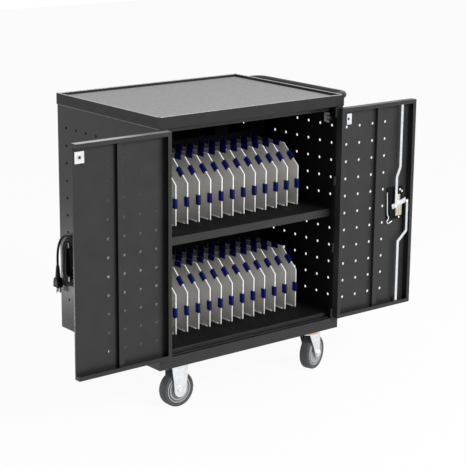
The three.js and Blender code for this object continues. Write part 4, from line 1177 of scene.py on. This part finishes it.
class RodLock:
    """The right door's lock: its case, latch body, spring wire, rivets and cam nut."""

    WIRE = ((-44.2, 37), (-41.2, -30), (-34.2, -40), (-43.2, -51), (-37.2, -58), (-22.2, -52))
    WIRE_RADIUS = 1.6 * MM
    LATCH = ((-9, -38), (16, -38), (16, 2), (8, 10), (8, 27), (-7, 27), (-9, 10))

    def __init__(self, shop: Workshop) -> None:
        self.shop = shop
        self.case = Box.of("lock_case")
        self.handle = Box.of("lock_handle")
        self.spindle = Vector((self.handle.centre.x, 0, self.case.centre.z))

    def make(self) -> None:
        """Adds the lock's pieces."""
        # The case shell takes the near-black painted-shade coat, which stands in for the shade round the lock.
        self.shop.mesh("lock_case_shell_painted_shade", self._shell(), "painted_shade_coat", Body.RIGHT_DOOR, Slot.BLACK_PLASTIC,
                       replaces=("lock_case",))
        self.shop.mesh("lock_latch_body", self._latch(), "brass", Body.RIGHT_DOOR, Slot.ZINC)
        self.shop.mesh("lock_rivets", self._rivets(), "zinc", Body.RIGHT_DOOR, Slot.ZINC)
        y = self.case.low.y + 2.2 * MM
        wire = [Vector((self.spindle.x + x * MM, y, self.spindle.z + z * MM)) for x, z in self.WIRE]
        self.shop.tube("lock_spring_wire", self._softened(wire), self.WIRE_RADIUS, "zinc", Body.RIGHT_DOOR, Slot.ZINC)
        self.shop.mesh("lock_cam_nut", self._cam_nut(), "zinc", Body.LOCK_HANDLE, Slot.ZINC)
        self._rod_rivets()

    @staticmethod
    def _softened(corners: Sequence[Vector]) -> list[Vector]:
        """A bent wire's corners, each rounded over a short length.

        Args:
            corners: The wire's corners.

        Returns:
            The wire's points.
        """
        points = [corners[0]]
        for before, corner, after in zip(corners, corners[1:], corners[2:]):
            reach = min(4 * MM, (corner - before).length / 3, (after - corner).length / 3)
            start = corner + (before - corner).normalized() * reach
            end = corner + (after - corner).normalized() * reach
            points += [start * (1 - t) ** 2 + corner * 2 * t * (1 - t) + end * t ** 2 for t in (0, 0.25, 0.5, 0.75, 1)]
        return points + [corners[-1]]

    def _shell(self) -> BMesh:
        """The back plate, its raised ends and the bracket at its upper corner, all in the near-black coat of painted
        shade, which stands in for the shade round the latch and rivets.

        Returns:
            The shell.
        """
        low, high = self.case.low, self.case.high
        plate_face = low.y + 4 * MM
        latch = self.spindle.x - 10 * MM
        parts = [
            Forms.block((low.x, plate_face, low.z), (high.x, high.y, high.z), 1.6 * MM),
            Forms.block((latch, low.y + 1 * MM, low.z + 3 * MM), (high.x, plate_face + 1 * MM, low.z + 19 * MM), 2 * MM),
            Forms.block((latch + 6 * MM, low.y + 1 * MM, high.z - 22 * MM),
                        (high.x, plate_face + 1 * MM, high.z - 2 * MM), 3 * MM),
            Forms.block((low.x + 8 * MM, low.y + 1.6 * MM, low.z + 6 * MM),
                        (low.x + 15 * MM, plate_face + 1 * MM, high.z - 6 * MM), 1.6 * MM),
        ]
        return Forms.merged(parts)

    def _latch(self) -> BMesh:
        """The latch body behind the cam, narrower above the spindle.

        Returns:
            The latch body.
        """
        outline = [self.spindle + Vector((x * MM, self.case.low.y, z * MM)) for x, z in self.LATCH]
        return Forms.prism(outline, (0, 5 * MM, 0), bevel=1.6 * MM)

    def _rivets(self) -> BMesh:
        """The bright rivets of the case.

        Returns:
            The rivets.
        """
        head = [(0, 0.5 * MM), (3.4 * MM, 0.5 * MM), (3.4 * MM, -0.6 * MM), (2.4 * MM, -1.5 * MM), (0, -1.9 * MM)]
        low, high = self.case.low, self.case.high
        places = ((self.spindle.x + 5 * MM, low.z + 5 * MM), (self.spindle.x + 7 * MM, high.z - 8 * MM),
                  (high.x - 5 * MM, high.z - 14 * MM))
        return Forms.merged([Forms.turned(head, (x, low.y + 1 * MM, z), (0, 1, 0), 20) for x, z in places])

    def _cam_nut(self) -> BMesh:
        """The hexagon nut that holds the cam on its spindle.

        Returns:
            The nut.
        """
        face = self.handle.low.y
        nut = [(0, 0.4 * MM), (6.6 * MM, 0.4 * MM), (6.6 * MM, -1.8 * MM), (5.6 * MM, -2.4 * MM), (3 * MM, -2.4 * MM),
               (2.6 * MM, -3.1 * MM), (0, -3.1 * MM)]
        return Forms.turned(nut, (self.spindle.x, face, self.spindle.z), (0, 1, 0), 6)

    def _rod_rivets(self) -> None:
        """A rivet head at each rod's end by the cam."""
        head = [(0, 0.4 * MM), (3.8 * MM, 0.4 * MM), (3.8 * MM, -0.6 * MM), (2.6 * MM, -1.6 * MM), (0, -2 * MM)]
        ends = {
            "upper_rod": (Box.of("upper_rod").low.x + 4.5 * MM, Box.of("upper_rod").low.z + 6 * MM),
            "lower_rod": (Box.of("lower_rod").high.x - 4.5 * MM, Box.of("lower_rod").high.z - 6 * MM),
        }
        for rod, (x, z) in ends.items():
            mesh = Forms.turned(head, (x, Box.of(rod).low.y, z), (0, 1, 0), 20)
            self.shop.mesh(f"{rod}_rivet", mesh, "zinc", rod, Slot.ZINC)


class DoorPlates:
    """Zinc strike plates inside the doors."""

    THICKNESS = 1.5 * MM
    SKIN = 19.2 * MM
    HOLE_STEPS = 24

    def __init__(self, shop: Workshop) -> None:
        self.shop = shop

    def make(self) -> None:
        """Adds a plate to each front door."""
        face = Box.of("left_door").low.y + self.SKIN
        hole = (-564 * MM, 744 * MM)
        left = self._plate((-578 * MM, 729 * MM), (-550 * MM, 759 * MM), hole, face)
        self.shop.mesh("left_door_strike_plate", left, "zinc", Body.LEFT_DOOR, Slot.ZINC)
        boss = self._plate((-571 * MM, 737 * MM), (-557 * MM, 751 * MM), hole, face - self.THICKNESS / 2)
        self.shop.mesh("left_door_strike_boss", boss, "plated", Body.LEFT_DOOR, Slot.ZINC)
        right = self._plate((329 * MM, 731 * MM), (347 * MM, 762 * MM), (335 * MM, 747 * MM), face)
        self.shop.mesh("right_door_strike_plate", right, "zinc", Body.RIGHT_DOOR, Slot.ZINC)

    def _plate(self, low: tuple[float, float], high: tuple[float, float], hole: tuple[float, float],
               face: float) -> BMesh:
        """A plate with a round hole, flat on a door's skin.

        Args:
            low: Lowest x and z.
            high: Highest x and z.
            hole: The hole's x and z.
            face: The skin's y.

        Returns:
            The plate.
        """
        radius = 4 * MM
        half = Vector(((high[0] - low[0]) / 2, (high[1] - low[1]) / 2))
        middle = Vector(((high[0] + low[0]) / 2, (high[1] + low[1]) / 2))
        bm = bmesh.new()
        rings = ([], [])
        corners = [math.atan2(sz * half.y, sx * half.x) % FULL_TURN for sx in (-1, 1) for sz in (-1, 1)]
        even = [FULL_TURN * (step + 0.5) / self.HOLE_STEPS for step in range(self.HOLE_STEPS)]
        for angle in sorted(even + corners):
            way = Vector((math.cos(angle), math.sin(angle)))
            reach = min(half.x / max(abs(way.x), 1e-9), half.y / max(abs(way.y), 1e-9))
            rim = middle + way * reach
            inner = Vector(hole) + way * radius
            rings[0].append(bm.verts.new((rim.x, face, rim.y)))
            rings[1].append(bm.verts.new((inner.x, face, inner.y)))
        edges = [bm.edges.new((ring[k - 1], ring[k])) for ring in rings for k in range(len(ring))]
        bmesh.ops.bridge_loops(bm, edges=edges)
        pushed = bmesh.ops.extrude_face_region(bm, geom=list(bm.faces))["geom"]
        bmesh.ops.translate(bm, verts=[v for v in pushed if isinstance(v, bmesh.types.BMVert)],
                            vec=(0, -self.THICKNESS, 0))
        bmesh.ops.recalc_face_normals(bm, faces=bm.faces)
        return bm


class SillStrip:
    """The door-stop strip on the ledge in front of the floor, its keeper, and thin black strips beside it that paint
    the shadow lines along it.
    """

    RUNS = ((-291, -53, 2.4), (-50.5, 7.5, 2.9), (10, 291, 2.4))
    KEEPER_ENDS = (-51.5, 8.5)
    KEEPER_RISE = 3.3 * MM
    FRONT, BACK = -226.5 * MM, -220.5 * MM
    SHADOW_LINES = ((-233, -227.5), (-219.8, -211.2))
    SHADOW_LINE_RISE = 0.5 * MM
    LEDGE = 32 * MM
    BURIED = 0.2 * MM

    def __init__(self, shop: Workshop) -> None:
        self.shop = shop
        self.ledge = Box.of("base_pan").low.z + self.LEDGE

    def make(self) -> None:
        """Adds the strip and the black strips of painted shadow."""
        runs = [self._bar(x0, x1, self.FRONT, self.BACK, rise * MM) for x0, x1, rise in self.RUNS]
        runs += [self._bar(x - 2, x + 2, self.FRONT, self.BACK, self.KEEPER_RISE) for x in self.KEEPER_ENDS]
        self.shop.mesh("sill_strip", Forms.merged(runs), "powder_coat", Body.CABINET, Slot.BLACK_STEEL)
        ends = self.RUNS[0][0], self.RUNS[-1][1]
        # Near-black strips lying flat on the ledge: painted shadow lines on both sides of the strip.
        shadow_lines = [self._bar(*ends, y0 * MM, y1 * MM, self.SHADOW_LINE_RISE) for y0, y1 in self.SHADOW_LINES]
        self.shop.mesh("sill_painted_shadow_lines", Forms.merged(shadow_lines), "cord", Body.CABINET, Slot.BLACK_PLASTIC)

    def _bar(self, x0: float, x1: float, front: float, back: float, rise: float) -> BMesh:
        """A bar along the ledge.

        Args:
            x0: Its left end, in millimetres.
            x1: Its right end, in millimetres.
            front: Its front face.
            back: Its rear face.
            rise: Its height above the ledge.

        Returns:
            The bar.
        """
        low = (x0 * MM, front, self.ledge - self.BURIED)
        return Forms.block(low, (x1 * MM, back, self.ledge + rise), min(0.8 * MM, rise / 3))


class TrayHem:
    """The folded hem round the rim of the top tray, coloured light grey as a painted highlight."""

    WIDTH = 6.5 * MM
    RISE = 0.5 * MM
    SKIRT = 31 * MM
    SKIRT_EDGE = 0.9 * MM
    PROUD = 0.25 * MM

    def __init__(self, shop: Workshop) -> None:
        self.shop = shop

    def make(self) -> None:
        """Adds the hem's four strips, and thin strips along the foot of the skirt's ends, all in the light grey of the
        painted highlight.
        """
        low, high = Box.of("top_tray").low, Box.of("top_tray").high
        foot, top, width = high.z - 2 * self.RISE, high.z + self.RISE, self.WIDTH
        parts = [
            Forms.block((low.x, low.y, foot), (high.x, low.y + width, top), self.RISE),
            Forms.block((low.x, high.y - width, foot), (high.x, high.y, top), self.RISE),
            Forms.block((low.x, low.y, foot), (low.x + width, high.y, top), self.RISE),
            Forms.block((high.x - width, low.y, foot), (high.x, high.y, top), self.RISE),
        ]
        edge = high.z - self.SKIRT
        for side in (low.x, high.x):
            parts.append(Forms.block((side - self.PROUD, low.y, edge),
                                     (side + self.PROUD, high.y, edge + self.SKIRT_EDGE)))
        self.shop.mesh("tray_hem_painted_highlight", Forms.merged(parts), "painted_highlight_hem", Body.CABINET, Slot.BLACK_STEEL)


class Doorway:
    """The header across the top of the front opening, and the face of the catch beside it."""

    HEADER_DROP, HEADER_RISE = 16 * MM, 1 * MM
    HEADER_SHEET = 2.6 * MM
    HEADER_SETBACK = 29 * MM
    CATCH_PLATE = 0.6 * MM
    CATCH_BARS = 3

    def __init__(self, shop: Workshop) -> None:
        self.shop = shop

    def make(self) -> None:
        """Adds both."""
        tray, left, right = Box.of("top_tray"), Box.of("left_side_panel"), Box.of("right_side_panel")
        front = tray.low.y + self.HEADER_SETBACK
        header = Forms.block((left.high.x - 1 * MM, front, tray.low.z - self.HEADER_DROP),
                             (right.low.x + 1 * MM, front + self.HEADER_SHEET, tray.low.z + self.HEADER_RISE), 0.8 * MM)
        self.shop.mesh("header_rail", header, "powder_coat", Body.CABINET, Slot.BLACK_STEEL)
        self.shop.mesh("door_catch_face", self._catch_face(), "plated", Body.CABINET, Slot.ZINC)

    def _catch_face(self) -> BMesh:
        """The catch's ribbed face: a spine with bars across it.

        Returns:
            The face.
        """
        box = Box.of("door_catch")
        x0, x1 = box.low.x - self.CATCH_PLATE, box.low.x + self.CATCH_PLATE
        spine = box.centre.y + box.size.y / 5
        bars = 2 * self.CATCH_BARS - 1
        rise = box.size.z / bars
        parts = [Forms.block((x0, spine, box.low.z), (x1, box.high.y, box.high.z), 0.3 * MM)]
        for bar in range(0, bars, 2):
            foot = box.low.z + bar * rise
            parts.append(Forms.block((x0, box.low.y, foot - 0.6 * MM), (x1, spine + 1 * MM, foot + rise + 0.6 * MM), 0.3 * MM))
        return Forms.merged(parts)


class RearFittings:
    """The rear door's turn lock and the power strip's outlets."""

    OUTLETS = 8

    def __init__(self, shop: Workshop) -> None:
        self.shop = shop

    def make(self) -> None:
        """Adds the pieces at the back."""
        self._turn_lock()
        self._outlets()

    def _turn_lock(self) -> None:
        """A black escutcheon with a zinc key cylinder near the door's free edge."""
        door = Box.of("rear_door")
        place = (door.low.x + 40 * MM, door.high.y, door.centre.z)
        rose = [(0, -1 * MM), (17 * MM, -1 * MM), (17 * MM, 1.6 * MM), (15 * MM, 3 * MM), (11 * MM, 3.2 * MM),
                (10.4 * MM, 2.6 * MM), (0, 2.6 * MM)]
        barrel = [(0, 0), (9.4 * MM, 0), (9.4 * MM, 4.2 * MM), (8.4 * MM, 5 * MM), (0, 5 * MM)]
        self.shop.mesh("rear_lock_rose", Forms.turned(rose, place, (0, 1, 0), 48), "black_plastic", Body.REAR_DOOR,
                       Slot.BLACK_PLASTIC)
        slot = Forms.block((place[0] - 0.7 * MM, place[1] + 4 * MM, place[2] - 4 * MM),
                           (place[0] + 0.7 * MM, place[1] + 5.4 * MM, place[2] + 4 * MM), 0.3 * MM)
        barrel_mesh = Forms.turned(barrel, place, (0, 1, 0), 40)
        self.shop.mesh("rear_lock_barrel", barrel_mesh, "zinc", Body.REAR_DOOR, Slot.ZINC)
        self.shop.mesh("rear_lock_keyway", slot, "black_plastic", Body.REAR_DOOR, Slot.BLACK_PLASTIC)

    def _outlets(self) -> None:
        """An insert with slots and an earth hole in each of the strip's recesses."""
        strip = Box.of("power_strip")
        pitch = strip.size.z / self.OUTLETS
        x, back = strip.centre.x, strip.high.y - 3 * MM
        faces, contacts = [], []
        for number in range(self.OUTLETS):
            z = strip.low.z + (number + 0.5) * pitch
            faces.append(Forms.block((x - 14 * MM, back - 0.5 * MM, z - 11.5 * MM), (x + 14 * MM, back + 2 * MM, z + 11.5 * MM),
                                     1.2 * MM))
            for side in (-1, 1):
                contacts.append(Forms.block((x - 2 * MM, back + 1.6 * MM, z + side * 6 * MM - 1 * MM),
                                            (x + 6 * MM, back + 2.15 * MM, z + side * 6 * MM + 1 * MM), 0.0))
            hole = [(0, 0), (2.6 * MM, 0), (2.6 * MM, 0.55 * MM), (0, 0.55 * MM)]
            contacts.append(Forms.turned(hole, (x - 7 * MM, back + 1.6 * MM, z), (0, 1, 0), 20))
        self.shop.mesh("power_strip_outlets", Forms.merged(faces), "hub", Body.CABINET, Slot.BLACK_PLASTIC)
        self.shop.mesh("power_strip_contacts", Forms.merged(contacts), "black_plastic", Body.CABINET, Slot.BLACK_PLASTIC)


# Stage


@dataclass(frozen=True)
class View:
    """The photograph's camera.

    Attributes:
        place: Camera position in metres from the point on the floor under the cabinet's middle.
        yaw: Heading of the view, from +Y towards +X, in radians.
        pitch: How far the view looks down, in radians.
        roll: Turn of the picture, in radians.
        lens: Focal length in millimetres on a 36 mm sensor.
    """

    place: tuple[float, float, float] = (-2.5389, -3.3356, 1.4915)
    yaw: float = 0.6731
    pitch: float = 0.2513
    roll: float = 0.0088
    lens: float = 116.65


class Stage:
    """Floor, light and camera."""

    LIFT = 0.94
    AMBIENT = 0.34

    def __init__(self, shop: Workshop, view: View = View()) -> None:
        self.shop = shop
        self.view = view
        self.middle = Box.of("top_tray").centre

    def set_up(self) -> None:
        """Adds the floor, the lights and the camera."""
        self._floor()
        self._sky()
        self._lamp("top_softbox", (-0.6, 0.4, 3.2), (2.6, 2.6), 15)
        self._lamp("front_softbox", (0.9, -3.8, 2.5), (1.6, 1.6), 170)
        self._lamp("side_softbox", (-0.95, 0.75, 0.06), (0.7, 0.1), 3)
        self._camera()
        bpy.context.scene.view_settings.view_transform = "Standard"

    def _floor(self) -> None:
        """A wide pale floor."""
        half = 9.0
        bm = bmesh.new()
        bmesh.ops.create_grid(bm, x_segments=2, y_segments=2, size=half)
        data = bpy.data.meshes.new("floor")
        bm.to_mesh(data)
        bm.free()
        floor = bpy.data.objects.new("floor", data)
        floor.data.materials.append(self._pale(self.shop.shelf.get("floor")))
        bpy.context.scene.collection.objects.link(floor)

    @staticmethod
    def _seen(tree: bpy.types.NodeTree) -> bpy.types.NodeSocket:
        """1 for rays from the camera, from gloss or through glass, 0 for the light on the object.

        Args:
            tree: The node tree.

        Returns:
            The value's socket.
        """
        rays = tree.nodes.new("ShaderNodeLightPath")
        seen = rays.outputs["Is Camera Ray"]
        for other in ("Is Glossy Ray", "Is Transmission Ray"):
            either = tree.nodes.new("ShaderNodeMath")
            either.operation = "MAXIMUM"
            tree.links.new(seen, either.inputs[0])
            tree.links.new(rays.outputs[other], either.inputs[1])
            seen = either.outputs["Value"]
        return seen

    def _pale(self, material: Material) -> Material:
        """Lifts the floor towards white where it is seen, and keeps the object's shadow on it.

        Args:
            material: The floor's material.

        Returns:
            The same material.
        """
        tree = material.node_tree
        output, shader = tree.nodes["Material Output"], tree.nodes["Principled BSDF"]
        white = tree.nodes.new("ShaderNodeEmission")
        share = tree.nodes.new("ShaderNodeMath")
        share.operation = "MULTIPLY"
        share.inputs[1].default_value = self.LIFT
        tree.links.new(self._seen(tree), share.inputs[0])
        mix = tree.nodes.new("ShaderNodeMixShader")
        tree.links.new(share.outputs["Value"], mix.inputs["Fac"])
        tree.links.new(shader.outputs["BSDF"], mix.inputs[1])
        tree.links.new(white.outputs["Emission"], mix.inputs[2])
        tree.links.new(mix.outputs["Shader"], output.inputs["Surface"])
        return material

    def _sky(self) -> None:
        """An even surround, white where it is seen."""
        world = bpy.data.worlds.new("studio")
        world.use_nodes = True
        tree = world.node_tree
        level = tree.nodes.new("ShaderNodeMapRange")
        level.inputs["To Min"].default_value = self.AMBIENT
        level.inputs["To Max"].default_value = 1.0
        tree.links.new(self._seen(tree), level.inputs["Value"])
        tree.links.new(level.outputs["Result"], tree.nodes["Background"].inputs["Strength"])
        tree.nodes["Background"].inputs["Color"].default_value = (1, 1, 1, 1)
        bpy.context.scene.world = world

    def _lamp(self, name: str, place: Sequence[float], size: tuple[float, float], power: float) -> None:
        """A large soft lamp that looks at the cabinet.

        Args:
            name: The lamp's name.
            place: Its position from the floor under the cabinet's middle.
            size: Its width and height in metres.
            power: Its power in watts.
        """
        lamp = bpy.data.lights.new(name, "AREA")
        lamp.shape = "RECTANGLE"
        lamp.size, lamp.size_y = size
        lamp.energy = power
        obj = bpy.data.objects.new(name, lamp)
        obj.location = Vector(place) + Vector((0, self.middle.y, 0))
        aim = Vector((0, self.middle.y, self.middle.z / 2)) - obj.location
        obj.rotation_euler = aim.to_track_quat("-Z", "Y").to_euler()
        bpy.context.scene.collection.objects.link(obj)

    def _camera(self) -> None:
        """The camera at the photograph's viewing angle."""
        view = self.view
        ahead = Vector((math.sin(view.yaw) * math.cos(view.pitch), math.cos(view.yaw) * math.cos(view.pitch),
                        -math.sin(view.pitch)))
        level = Vector((math.cos(view.yaw), -math.sin(view.yaw), 0))
        right = math.cos(view.roll) * level + math.sin(view.roll) * level.cross(ahead)
        up = right.cross(ahead)
        turn = Matrix((right, up, -ahead)).transposed().to_4x4()
        data = bpy.data.cameras.new("photograph")
        data.lens = view.lens
        data.sensor_width = 36
        data.sensor_fit = "HORIZONTAL"
        camera = bpy.data.objects.new("photograph", data)
        camera.matrix_world = Matrix.Translation(Vector(view.place) + Vector((0, self.middle.y, 0))) @ turn
        bpy.context.scene.collection.objects.link(camera)
        bpy.context.scene.camera = camera


def main() -> None:
    """Builds the dressed cart."""
    logging.basicConfig(level=logging.INFO)
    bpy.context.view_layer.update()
    shop = Workshop(MaterialShelf())
    CarriedNodes(shop).dress()
    MainsLead(shop).make()
    Dividers(shop).make()
    Casters(shop).make()
    PushHandle(shop).make()
    RodLock(shop).make()
    DoorPlates(shop).make()
    SillStrip(shop).make()
    Doorway(shop).make()
    TrayHem(shop).make()
    RearFittings(shop).make()
    Stage(shop).set_up()


if __name__ == "__main__":
    main()
